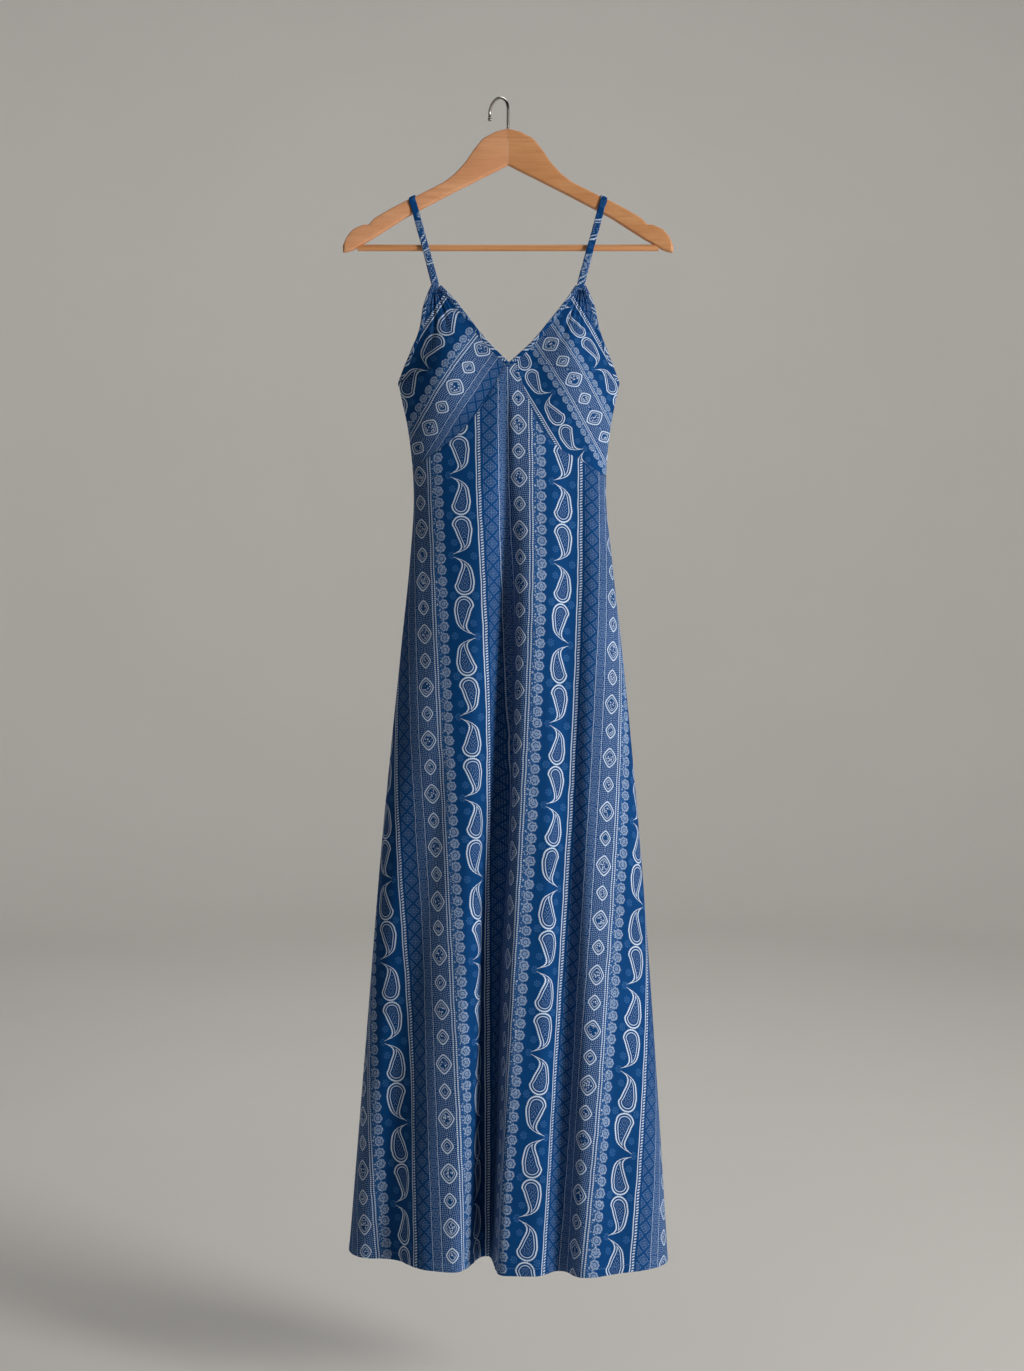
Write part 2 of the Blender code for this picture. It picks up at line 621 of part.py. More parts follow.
def round_rings(centres, radii, across):
    """Round rings along a path in the plane whose normal is across."""
    centres = np.asarray(centres, float)
    along = np.gradient(centres, axis=0)
    along = along / np.linalg.norm(along, axis=1, keepdims=True)
    beside = np.broadcast_to(across, along.shape)
    above = np.cross(along, beside)
    angle = np.linspace(0.0, 2 * np.pi, ROUND_SIDES, endpoint=False)
    spoke = (np.cos(angle)[None, :, None] * beside[:, None, :]
             + np.sin(angle)[None, :, None] * above[:, None, :])
    return centres[:, None, :] + spoke * np.asarray(radii)[:, None, None]


def hanger_bar(finish, carrier):
    """The straight trouser bar, held in a socket in each arm."""
    centres = [(x, bar_y(), -BAR_DROP) for x in (-BAR_REACH, 0.0, BAR_REACH)]
    rings = round_rings(centres, [BAR_RADIUS] * 3, np.array([0.0, 0.0, 1.0]))
    return loft("hanger_bar", rings, finish, carrier)


def hook_across():
    """Direction in which the hook leaves the stem."""
    return np.array([-math.sin(HOOK_TURN), math.cos(HOOK_TURN), 0.0])


def hanger_hook(finish, carrier):
    """The steel hook: a stem rising from the wood, an open arc and a round tip."""
    lean = hook_across()
    up = np.array([0.0, 0.0, 1.0])
    middle = lean * HOOK_RADIUS + up * (HOOK_WIRE - HOOK_RADIUS)
    centres = [up * z for z in np.linspace(-HOOK_ROOT_DROP, middle[2] - HOOK_EASE, 4)]
    for turn in np.linspace(0.0, HOOK_SWEEP, HOOK_STEPS):
        centres.append(middle - lean * HOOK_RADIUS * math.cos(turn) + up * HOOK_RADIUS * math.sin(turn))
    ahead = lean * math.sin(HOOK_SWEEP) + up * math.cos(HOOK_SWEEP)
    tip = centres[-1] + ahead * HOOK_TIP
    radii = [HOOK_WIRE] * len(centres)
    for turn in np.radians(HOOK_TIP_TURNS):
        centres.append(tip + ahead * math.cos(turn) * HOOK_TIP)
        radii.append(HOOK_TIP * math.sin(turn))
    plane_normal = np.cross(lean, up)
    return loft("hanger_hook", round_rings(centres, radii, plane_normal), finish, carrier)


def build():
    clear_scene()
    carrier = bpy.data.objects.new("hanging_point", None)
    bpy.context.scene.collection.objects.link(carrier)
    inner_top = hook_across() * HOOK_RADIUS
    carrier.location = (-inner_top[0] * MM, -inner_top[1] * MM, 0.0)

    cloth = material("printed_viscose", (0.03, 0.10, 0.28), 0.75)
    trim = material("printed_viscose_binding", (0.025, 0.09, 0.25), 0.75)
    beech = material("lacquered_beech", (0.50, 0.26, 0.13), 0.45)
    steel = material("polished_steel", (0.62, 0.61, 0.60), 0.25, 1.0)

    front_skirt(cloth, carrier)
    back_skirt(cloth, carrier)
    back_binding(trim, carrier)
    for side, word in ((-1, "left"), (1, "right")):
        cup(side, "front_cup_" + word, cloth, carrier)
        front_binding("neck_binding_" + word, neck_curve(side, 0.0), neck_curve(side, BINDING_WIDTH),
                      trim, carrier)
        front_binding("armhole_binding_" + word, arm_curve(side, 0.0), arm_curve(side, BINDING_WIDTH),
                      trim, carrier)
        strap(side, "strap_" + word, trim, carrier)
        hanger_arm(side, "hanger_arm_" + word, beech, carrier)
    hanger_bar(beech, carrier)
    hanger_hook(steel, carrier)


build()
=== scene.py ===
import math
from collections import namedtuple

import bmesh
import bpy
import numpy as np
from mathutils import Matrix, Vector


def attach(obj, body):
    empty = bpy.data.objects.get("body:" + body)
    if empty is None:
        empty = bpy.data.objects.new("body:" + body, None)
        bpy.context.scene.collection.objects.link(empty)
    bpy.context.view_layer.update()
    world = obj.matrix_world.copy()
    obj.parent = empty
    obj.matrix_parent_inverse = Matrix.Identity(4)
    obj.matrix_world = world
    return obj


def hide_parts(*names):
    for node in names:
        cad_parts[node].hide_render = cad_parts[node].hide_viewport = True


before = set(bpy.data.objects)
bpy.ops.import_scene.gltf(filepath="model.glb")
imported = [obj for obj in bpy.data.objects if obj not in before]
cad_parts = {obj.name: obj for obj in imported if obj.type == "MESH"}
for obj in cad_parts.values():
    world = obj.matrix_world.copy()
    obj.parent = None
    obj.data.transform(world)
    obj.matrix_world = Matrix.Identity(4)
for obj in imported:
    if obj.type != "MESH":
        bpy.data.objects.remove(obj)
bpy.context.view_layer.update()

# Looks of the maxi slip dress and its wooden hanger: paisley-striped viscose with bound edges and
# straps, a lacquered beech hanger, and its steel hook.
#
# Shapes are worked out in millimetres about the hanger's middle, as the solids are, and moved to
# the hook's inner top in metres when they become meshes. "drop" is a depth below the hook's top.

MM = 0.001

# The dress's form, the same as its solids have
HEM_DROP = 1565.0
SEAM_GAP = 0.3
BINDING_WIDTH = 6.0
BINDING_THICK = 2.4
STRAP_WIDTH = 9.5
STRAP_THICK = 2.0
WALL = 1.4
CLOTH_THICK = 0.6
HEM_THICK = 1.6
HEM_TURN = 10.0
HEM_LAST_ROW = 0.0025
HEM_PUCKER = 0.7
HEM_PUCKER_REACH = 260.0
HEM_ROLL = 0.35
CREASE_START = 60.0

Section = namedtuple("Section", "drop left right left_y right_y front back")
SECTIONS = [
    Section(230, -151, 152, 0, 0, 27, 14),
    Section(387, -149, 151, 0, 0, 41, 27),
    Section(450, -136, 139, 0, 0, 45, 33),
    Section(540, -128, 133, 0, 0, 48, 38),
    Section(628, -133, 141, 0, -2, 53, 42),
    Section(737, -144, 153, 0, -6, 60, 48),
    Section(1008, -171, 178, 1, -16, 72, 60),
    Section(1280, -193, 197, 3, -27, 82, 70),
    Section(1565, -216, 214, 5, -38, 90, 80),
]
Fold = namedtuple("Fold", "start start_x hem_x start_left start_right hem_left hem_right depth grow")
FRONT_FOLDS = [
    Fold(455, 3, -27, 26, 20, 26, 10, 78, 0.95),
    Fold(470, 92, 69, 20, 16, 20, 14, 23, 0.45),
    Fold(470, 128, 102, 16, 18, 14, 24, -8, 0.60),
    Fold(880, -112, -152, 26, 26, 36, 26, 30, 0.80),
]
BACK_FOLDS = [
    Fold(560, -30, -98, 20, 20, 24, 26, 46, 0.90),
    Fold(520, 8, -8, 18, 18, 22, 26, 30, 0.80),
    Fold(600, 40, 84, 20, 20, 26, 22, 48, 0.90),
    Fold(820, 96, 156, 24, 20, 22, 24, 22, 0.90),
]

# Soft creases that lie over the folds. u is how far from the panel's middle, along the cloth; a
# positive depth goes in and a negative one stands out. Those that end below the hem run through it.
Crease = namedtuple("Crease", "u_start u_end start end half_width depth")
FRONT_CREASES = [
    Crease(-5, -18, 330, 1180, 11, 13.0), Crease(-50, -48, 760, 1560, 9, 4.0),
    Crease(-1, -2, 366, 600, 5, 2.4), Crease(-98, -160, 700, 1420, 15, 2.6),
    Crease(-62, -96, 860, 1700, 17, -3.6), Crease(-30, -52, 560, 1180, 11, -3.4),
    Crease(32, 40, 560, 1010, 9, -1.8), Crease(56, 82, 720, 1500, 11, -2.4),
    Crease(112, 158, 640, 1380, 13, 2.4), Crease(128, 214, 900, 1800, 20, -3.6),
    Crease(150, 262, 1080, 1760, 15, 2.8), Crease(-126, -236, 1030, 1790, 18, -3.2),
    Crease(-118, -138, 520, 830, 9, 1.5), Crease(96, 112, 525, 760, 8, 1.4),
]
BACK_CREASES = [
    Crease(-104, -152, 640, 1400, 15, 2.6), Crease(-70, -100, 800, 1700, 16, -3.4),
    Crease(-22, -34, 470, 1050, 10, 2.2), Crease(20, 26, 430, 820, 9, -1.8),
    Crease(60, 96, 700, 1560, 12, -2.6), Crease(104, 176, 620, 1330, 14, 2.4),
    Crease(124, 226, 930, 1780, 19, -3.4), Crease(-120, -240, 1010, 1800, 17, -3.0),
]

EdgePoint = namedtuple("EdgePoint", "x drop")
NECK_POINT = EdgePoint(1.4, 364.5)
NECK_EDGE = {
    -1: [EdgePoint(-90, 259), EdgePoint(-73, 277), EdgePoint(-49, 308), EdgePoint(-28, 335), NECK_POINT],
    1: [EdgePoint(91, 259), EdgePoint(79, 277), EdgePoint(55, 308), EdgePoint(33, 335), NECK_POINT],
}
ARM_EDGE = {
    -1: [EdgePoint(-104, 259), EdgePoint(-113, 281), EdgePoint(-121, 322), EdgePoint(-132, 348),
         EdgePoint(-149, 387)],
    1: [EdgePoint(105, 259), EdgePoint(115, 281), EdgePoint(125, 322), EdgePoint(135, 348),
        EdgePoint(151, 387)],
}
BODICE_SEAM = {
    -1: [EdgePoint(-6, 370), EdgePoint(-20, 398), EdgePoint(-42, 434), EdgePoint(-71, 465),
         EdgePoint(-98, 485), EdgePoint(-129, 506)],
    1: [EdgePoint(12, 367), EdgePoint(22, 400), EdgePoint(39, 445), EdgePoint(64, 476),
        EdgePoint(98, 495), EdgePoint(133, 517)],
}
CUP_FULLNESS = 17.0
CUP_MIDDLE = EdgePoint(70, 385)
CUP_SPREAD = EdgePoint(46, 66)
CUP_EDGE_RISE = 8.0
CUP_EDGE_POWER = 0.6
CUP_START_SHARE = 0.4 / 14
CLOTH_TUCK = 1.6
SEAM_TURN = 2.0
SEAM_TURN_DEPTH = 1.0
POINT_TURN = 3.0
POINT_TURN_SHARE = 0.012
CUP_CORNER = 3.0
NECK_MITRE = 1.42
PAST_SEAM = 400.0
BACK_EDGE_SIDE = 388.0
BACK_EDGE_DIP = 9.0
BACK_HALF_WIDTH = 148.0
BACK_STRAP_X = 66.0

# Gathers where a cup is drawn up to its strap: their place across the cup from the armhole to the
# neck, their depth, their width as a share of the cup, and how far below the strap they run.
Gather = namedtuple("Gather", "place depth half_width length")
GATHERS = {
    -1: [Gather(0.16, 2.4, 0.050, 72), Gather(0.31, 3.4, 0.050, 104), Gather(0.45, 2.2, 0.040, 60),
         Gather(0.58, 3.2, 0.055, 96), Gather(0.72, 2.0, 0.040, 52), Gather(0.86, 2.6, 0.050, 74)],
    1: [Gather(0.13, 2.2, 0.045, 58), Gather(0.27, 3.2, 0.055, 92), Gather(0.40, 2.4, 0.040, 118),
        Gather(0.55, 3.3, 0.055, 76), Gather(0.70, 2.8, 0.050, 126), Gather(0.85, 2.0, 0.045, 54)],
}

StrapRow = namedtuple("StrapRow", "out y drop tilt")
STRAP_REST = 129.5
STRAP_FOOT = 258.6
STRAP_FOOT_X = 97.0
STRAP_CLEAR = 0.45
STRAP_BACK_GAP = 0.5
STRAP_BACK_LIFT = 0.6
STRAP_ARM_DROP = 163.0
STRAP_FRONT = [
    StrapRow(97.5, 0.6, STRAP_FOOT, 0.0), StrapRow(99.6, -0.6, 250, 0.27), StrapRow(104.5, -1.2, 232, 0.27),
    StrapRow(111.4, -0.8, 207, 0.27), StrapRow(118.5, 2.0, 182, 0.32),
]
STRAP_BACK = [
    StrapRow(117.5, 2.6, 184, 0.26), StrapRow(107, 6.4, 224, 0.25), StrapRow(92, 12.5, 284, 0.25),
    StrapRow(76, 20.5, 349, 0.25),
]
STRAP_BY_ARM = StrapRow(127.0, 0.0, 150.0, 0.0)
STRAP_UNDER_ARM_FRONT = StrapRow(123.6, -0.8, 162.0, 0.38)
STRAP_UNDER_ARM_BACK = StrapRow(123.6, 0.6, 162.0, 0.36)

# Hanger
ARM_REACH = 222.5
ARM_SWEEP = 17.0
ARM_SWEEP_POWER = 1.3
ARM_THICK = 11.5
ARM_ROUND = 3.0
ARM_SLANT = -0.084
HOOK_WIRE = 2.0
HOOK_RADIUS = 19.0
HOOK_TURN = math.radians(42.0)
HOOK_SWEEP = math.radians(190.0)
HOOK_TIP = 3.2
HOOK_ROOT_DROP = 60.0
ArmRow = namedtuple("ArmRow", "out top bottom")
ARM_ROWS = [
    ArmRow(0.15, 43.4, 92.5), ArmRow(16, 47.3, 101), ArmRow(34, 57, 110), ArmRow(46, 72, 116.4),
    ArmRow(58, 90, 122.6), ArmRow(72, 105.5, 129.8), ArmRow(86, 116.5, 137.3),
    ArmRow(105, 126.5, 147.6), ArmRow(124, 136.5, 157.9), ArmRow(138, 143, 165.6),
    ArmRow(159, 154.5, 179.5), ArmRow(178, 166, 192), ArmRow(183, 170, 195.2),
    ArmRow(187, 176.3, 197.6), ArmRow(195, 176.4, 202.2), ArmRow(209, 183, 211),
    ArmRow(218, 194, 213.8), ArmRow(ARM_REACH, 206, 214.4),
]
HOOK_LEAN = np.array([-math.sin(HOOK_TURN), math.cos(HOOK_TURN), 0.0])
HANGING_POINT = -HOOK_LEAN * HOOK_RADIUS

# The print: one repeat of stripes across the cloth, in millimetres from the left edge of the
# paisley stripe, and the pitches and sizes of the motifs down the cloth.
REPEAT = 140.0
PAISLEY_LEFT = 50.0
PAISLEY_MIDDLE = 22.0
PAISLEY_PITCH = 53.65
PAISLEY_TOP = 469.2
PAISLEY_HEAD = 13.2
PAISLEY_TALL = 38.2
PAISLEY_GAP = 0.4
PAISLEY_BEND = (0.623, -0.0592, 0.00303, -5.63e-05)
JOINT_ASIDE = 15.2
JOINT_ALONG = 26.4
HOLLOW_ASIDE = 10.6
HOLLOW_UP = 22.5
ROPE_LEFT = 44.0
ROPE_LINE = 45.2
ROPE_BEADS = 49.3
LATTICE_LEFT = 53.0
LATTICE_MIDDLE = 64.0
LATTICE_PITCH = 20.4
LATTICE_WIDE = 22.0
RING_LEFT = 75.0
RING_MIDDLE = 82.0
RING_PITCH = 13.0
RING_RADIUS = 6.2
RING_BEADS = 6.6
MEDALLION_LEFT = 90.0
MEDALLION_MIDDLE = 102.5
DIAMOND_PITCH = 35.4
DIAMOND_MIDDLE = 451.0
DIAMOND_HALF_WIDE = 10.6
DIAMOND_HALF_TALL = 12.6
DIAMOND_ROUND = 1.35
BEADS_LEFT = 115.0
BEADS_MIDDLE = 118.5
BORDER_LEFT = 122.0
BORDER_FLOWERS = 132.4
BORDER_RADIUS = 6.5
SCALLOP_PITCH = 15.1
PRINT_GROUND = "#054582"
PRINT_PALE = "#5590d4"
PRINT_WHITE = "#d6e8fe"
PRINT_REVERSE = "#4a73a6"
THREAD_PITCH = 1.1

# How the rows of the print lie on a skirt panel: how far down they start, and how they slant and
# sag away from the panel's middle.
PRINT_DOWN = 3.5
PRINT_SLANT = 0.071
PRINT_SAG = 0.00042

# Studio and camera: metres for the floor, millimetres and rows of the frame for the camera
FLOOR_Z = -1.78
FLOOR_FLAT = 4.2
FLOOR_CURVE = 1.6
FLOOR_TOP = 4.2
FLOOR_SIDES = 96
CAMERA_DISTANCE = 2700.0
CAMERA_X = 5.4
CAMERA_DROP = 709.7
ROW_SIZE = 1.357
ROWS = 1371.0
LEVEL_ROW = 620.0
SENSOR = 36.0

# How finely the pieces are laid out: rows, columns and steps of their grids
RING_ROWS = 150
RING_STEPS = 721
SKIRT_EDGE_POINTS = 120
FRONT_COLUMNS = 171
FRONT_ROWS = 230
BACK_COLUMNS = 161
BACK_ROWS = 220
CUP_COLUMNS = 53
CUP_EDGE_POINTS = 46
CUP_SEAM_POINTS = 64
BINDING_STEPS = 240
BACK_BINDING_STEPS = 320
BINDING_SIDES = 18
STRAP_STEPS = 330
STRAP_SIDES = 20
ARM_STEPS = 190
ARM_CORNER_STEPS = 7
STEM_STEPS = 24
ARC_STEPS = 90
TIP_STEPS = 18
WIRE_SIDES = 28


# The dress's form


def through(stations, values, at):
    """A smooth curve through a table: cubic pieces, each row's slope taken from its neighbours."""
    stations = np.asarray(stations, float)
    values = np.asarray(values, float)
    slope = np.gradient(values, stations)
    at = np.asarray(at, float)
    row = np.clip(np.searchsorted(stations, at) - 1, 0, len(stations) - 2)
    step = stations[row + 1] - stations[row]
    t = (at - stations[row]) / step
    ends = values[row] * (1 + 2 * t) * (1 - t) ** 2 + values[row + 1] * t * t * (3 - 2 * t)
    bends = slope[row] * t * (1 - t) ** 2 - slope[row + 1] * t * t * (1 - t)
    return ends + step * bends


def unit(vectors):
    return vectors / np.linalg.norm(vectors, axis=-1, keepdims=True)


def walked_along(points):
    """How far along a line of points each of them lies."""
    return np.concatenate([[0.0], np.cumsum(np.linalg.norm(np.diff(points, axis=0), axis=1))])


def column(field, drop):
    return through([s.drop for s in SECTIONS], [getattr(s, field) for s in SECTIONS], drop)


def fold_push(x, drop, folds):
    """How far the folds push the cloth into the tube: each a soft bump with uneven flanks."""
    push = np.zeros(np.broadcast(x, drop).shape)
    for fold in folds:
        grown = np.clip((drop - fold.start) / (HEM_DROP - fold.start), 0.0, 1.0)
        away = x - (fold.start_x + (fold.hem_x - fold.start_x) * grown)
        left = fold.start_left + (fold.hem_left - fold.start_left) * grown
        right = fold.start_right + (fold.hem_right - fold.start_right) * grown
        reach = np.where(away < 0, left, right)
        push = push + fold.depth * grown ** fold.grow * np.exp(-np.abs(away / reach) ** 2.6)
    return push


def tube_point(angle, drop):
    """The dress's outside. The angle runs from 0 at the left seam over the front to pi at the right
    seam and round the back to two pi: an ellipse about the seams, with the folds pushed in."""
    angle, drop = np.broadcast_arrays(np.asarray(angle, float), np.asarray(drop, float))
    left, right = column("left", drop), column("right", drop)
    x = (left + right) / 2 - (right - left) / 2 * np.cos(angle)
    share = (x - left) / (right - left)
    seam_y = column("left_y", drop) * (1 - share) + column("right_y", drop) * share
    lean = np.sin(angle)
    fade = np.sqrt(np.abs(lean))
    front = seam_y - column("front", drop) * lean + fade * fold_push(x, drop, FRONT_FOLDS)
    back = seam_y - column("back", drop) * lean - fade * fold_push(x, drop, BACK_FOLDS)
    return np.stack([x, np.where(lean >= 0, front, back), -drop], axis=-1)


def tube_normal(angle, drop):
    """Outward normal of the tube, by small steps round it and down it."""
    turn, fall = 1e-3, 0.5
    round_it = tube_point(angle + turn, drop) - tube_point(angle - turn, drop)
    down_it = tube_point(angle, drop + fall) - tube_point(angle, drop - fall)
    return unit(np.cross(down_it, round_it))


def grid_normal(grid):
    """Outward normal of a grid whose rows go down and whose columns go along increasing angle."""
    return unit(np.cross(np.gradient(grid, axis=0), np.gradient(grid, axis=1)))


def angle_at(x, drop):
    left, right = column("left", drop), column("right", drop)
    return np.arccos(np.clip(((left + right) / 2 - x) / ((right - left) / 2), -1.0, 1.0))


def half_ring(start):
    """Distances walked round the front or the back at many drops, for reading shares back."""
    drops = np.linspace(360.0, HEM_DROP, RING_ROWS)
    fine = start + np.linspace(0.0, math.pi, RING_STEPS)
    rings = tube_point(fine[None, :], drops[:, None])
    steps = np.linalg.norm(np.diff(rings, axis=1), axis=2)
    walked = np.concatenate([np.zeros((len(drops), 1)), np.cumsum(steps, axis=1)], axis=1)
    return drops, fine, walked


def angles_at_shares(ring, share, drops):
    """The angle of each column's share of the arc, at each of its drops."""
    at, fine, walked = ring
    by_row = np.array([np.interp(share * row[-1], row, fine) for row in walked])
    return np.stack([np.interp(drops[:, k], at, by_row[:, k]) for k in range(len(share))], axis=1)


def share_of(ring, angle, drop):
    """The share of the arc walked at an angle, between the two nearest rows of the table."""
    at, fine, walked = ring
    row = min(max(int(np.searchsorted(at, drop)) - 1, 0), len(at) - 2)
    part = (drop - at[row]) / (at[row + 1] - at[row])
    along = walked[row] * (1 - part) + walked[row + 1] * part
    return float(np.interp(angle, fine, along) / along[-1])


def bodice_edge(count):
    """The skirt's peaked top: the left seam inwards, the point under the neck, the right seam out."""
    edge = []
    for side in (-1, 1):
        seam = BODICE_SEAM[side]
        x = np.linspace(seam[0].x, seam[-1].x, count)
        drop = through([abs(p.x) for p in seam], [p.drop for p in seam], np.abs(x))
        edge.append(np.stack([x, drop], -1))
    middle = np.array([[NECK_POINT.x, NECK_POINT.drop + (BINDING_WIDTH - CLOTH_TUCK) * NECK_MITRE]])
    return np.concatenate([edge[0][::-1], middle, edge[1]])


def back_edge(share):
    return BACK_EDGE_SIDE + BACK_EDGE_DIP * np.sin(np.pi * share) ** 1.5


def edge_curve(points, count, start=0.0):
    """Evenly spaced points on the smooth curve through an edge's points."""
    points = np.array(points, float)
    walked = walked_along(points)
    at = np.linspace(walked[-1] * start, walked[-1], count)
    return np.stack([through(walked, points[:, 0], at), through(walked, points[:, 1], at)], -1)


def moved_aside(curve, distance, side):
    """A curve moved in its own plane towards the middle of the cup that it bounds."""
    along = unit(np.gradient(curve, axis=0))
    return curve + side * distance * np.stack([-along[:, 1], along[:, 0]], -1)


def neck_curve(side, distance, count, start=0.0):
    curve = moved_aside(edge_curve(NECK_EDGE[side], count, start), distance, -side)
    last, before = curve[-1], curve[-2]
    meeting = NECK_POINT.x + side * SEAM_GAP / 2
    curve[-1] = before + (last - before) * (meeting - before[0]) / (last[0] - before[0])
    return curve


def arm_curve(side, distance, count, start=0.0):
    curve = moved_aside(edge_curve(ARM_EDGE[side], count, start), distance, side)
    curve[-1] = [side * PAST_SEAM, ARM_EDGE[side][-1].drop + distance]
    return curve


def front_angle(curve):
    """Angles of a curve's points on the front, held just off the side seams."""
    angle = angle_at(curve[:, 0], curve[:, 1])
    gap = SEAM_GAP / 2 / column("front", curve[:, 1])
    return np.clip(angle, gap, math.pi - gap)


def creased(u, drop, creases):
    """Depth of the soft creases: each a trough or ridge, round across, that swells and fades
    along its own length."""
    depth = np.zeros(u.shape)
    for crease in creases:
        grown = np.clip((drop - crease.start) / (crease.end - crease.start), 0.0, 1.0)
        away = u - (crease.u_start + (crease.u_end - crease.u_start) * grown)
        width = crease.half_width * (0.55 + 0.9 * grown)
        depth = depth + crease.depth * np.sin(np.pi * grown) ** 1.3 * np.exp(-(away / width) ** 2)
    return depth


# Meshes


def to_piece(name, points, faces, uv, finishes, face_finish=None, hem=None):
    """A mesh object from points in millimetres about the hanger's middle. uv holds each point's
    place on the flat cloth in millimetres; hem holds its distance above the hem."""
    mesh = bpy.data.meshes.new(name)
    mesh.from_pydata((np.asarray(points) + HANGING_POINT) * MM, [], faces)
    if uv is not None:
        layer = mesh.uv_layers.new(name="cut_cloth")
        corner = np.empty(len(mesh.loops), dtype=np.int32)
        mesh.loops.foreach_get("vertex_index", corner)
        layer.uv.foreach_set("vector", (np.asarray(uv)[corner] * MM).ravel())
    if hem is not None:
        mesh.attributes.new("above_hem", "FLOAT", "POINT").data.foreach_set("value", hem.astype(np.float32))
    for finish in finishes:
        mesh.materials.append(finish)
    if face_finish is not None:
        mesh.polygons.foreach_set("material_index", face_finish)
    mesh.shade_smooth()
    mesh.set_sharp_from_angle(angle=math.radians(50.0))
    piece = bpy.data.objects.new(name, mesh)
    bpy.context.scene.collection.objects.link(piece)
    return piece


def cloth_shell(name, outer, uv, thickness, finishes, above_hem):
    """Cloth of a given thickness: the outer grid, the same grid moved in along its normals with
    the paler reverse on it, and a rim round both."""
    rows, columns = outer.shape[:2]
    inner = outer - grid_normal(outer) * thickness[..., None]
    count = rows * columns
    index = np.arange(count).reshape(rows, columns)
    skin = np.stack([index[:-1, :-1], index[1:, :-1], index[1:, 1:], index[:-1, 1:]], -1).reshape(-1, 4)
    edge = np.concatenate([index[:-1, 0], index[-1, :-1], index[:0:-1, -1], index[0, :0:-1]])
    ahead = np.roll(edge, -1)
    rim = np.stack([ahead, edge, edge + count, ahead + count], -1)
    faces = np.concatenate([skin, skin[:, ::-1] + count, rim])
    face_finish = np.repeat([0, 1, 0], [len(skin), len(skin), len(rim)]).astype(np.int32)
    points = np.concatenate([outer.reshape(-1, 3), inner.reshape(-1, 3)])
    flat = np.concatenate([uv.reshape(-1, 2)] * 2)
    return to_piece(name, points, faces, flat, finishes, face_finish, np.concatenate([above_hem.ravel()] * 2))


def loft(name, rings, uv, finishes):
    """A closed bar through rings of equally many points; its ends close on their middles. uv has
    one more point to a ring than rings does, so that the cloth's print meets at the bar's back."""
    count, sides = rings.shape[:2]
    closed = np.concatenate([rings, rings[:, :1]], axis=1)
    if uv is None:
        uv = np.zeros((count, sides + 1, 2))
    index = np.arange(count * (sides + 1)).reshape(count, sides + 1)
    skin = np.stack([index[:-1, :-1], index[:-1, 1:], index[1:, 1:], index[1:, :-1]], -1).reshape(-1, 4)
    points = np.concatenate([closed.reshape(-1, 3), rings[0].mean(0)[None], rings[-1].mean(0)[None]])
    flat = np.concatenate([uv.reshape(-1, 2), uv[0].mean(0)[None], uv[-1].mean(0)[None]])
    first, last = len(points) - 2, len(points) - 1
    caps = np.concatenate([
        np.stack([index[0, 1:], index[0, :-1], np.full(sides, first)], -1),
        np.stack([index[-1, :-1], index[-1, 1:], np.full(sides, last)], -1)])
    piece = to_piece(name, points, skin.tolist() + caps.tolist(), flat, finishes)
    return closed_up(piece)


def closed_up(piece):
    """Joins a bar's first and last column of points and turns its faces outwards."""
    form = bmesh.new()
    form.from_mesh(piece.data)
    bmesh.ops.remove_doubles(form, verts=form.verts, dist=1e-6)
    bmesh.ops.recalc_face_normals(form, faces=form.faces)
    form.to_mesh(piece.data)
    form.free()
    return piece


# Pieces of the dress


def skirt_front(finishes):
    """The front panel: every column keeps its share of the arc from seam to seam on its way from
    the bodice seam to the hem; the print's u is the distance walked from the panel's middle. Its
    top edge is turned in behind the cups, and a little further behind the neck's point."""
    ring = half_ring(0.0)
    edge = bodice_edge(SKIRT_EDGE_POINTS)
    edge_angle = angle_at(edge[:, 0], edge[:, 1])
    edge_angle[[0, -1]] = 0.0, math.pi
    edge_share = [share_of(ring, a, d) for a, d in zip(edge_angle, edge[:, 1])]
    share = np.linspace(0.0, 1.0, FRONT_COLUMNS)
    top = np.interp(share, edge_share, edge[:, 1]) + SEAM_GAP
    fall = np.append(np.linspace(0.0, 1.0, FRONT_ROWS) * (1 - HEM_LAST_ROW), 1.0)
    drops = top[None, :] + (HEM_DROP - top[None, :]) * fall[:, None]
    turned = top - SEAM_TURN - POINT_TURN * np.exp(-((share - 0.5) / POINT_TURN_SHARE) ** 2)
    drops = np.concatenate([turned[None, :], drops])
    return panel("skirt_front_cloth", ring, share, drops, "front", FRONT_CREASES, finishes, SEAM_TURN_DEPTH)


def skirt_back(finishes):
    """The back panel, from its bound top edge to the hem, laid out as the front is."""
    ring = half_ring(math.pi)
    share = np.linspace(0.0, 1.0, BACK_COLUMNS)
    top = back_edge(share) + BINDING_WIDTH - CLOTH_TUCK
    fall = np.append(np.linspace(0.0, 1.0, BACK_ROWS) * (1 - HEM_LAST_ROW), 1.0)
    drops = top[None, :] + (HEM_DROP - top[None, :]) * fall[:, None]
    return panel("skirt_back_cloth", ring, share, drops, "back", BACK_CREASES, finishes)


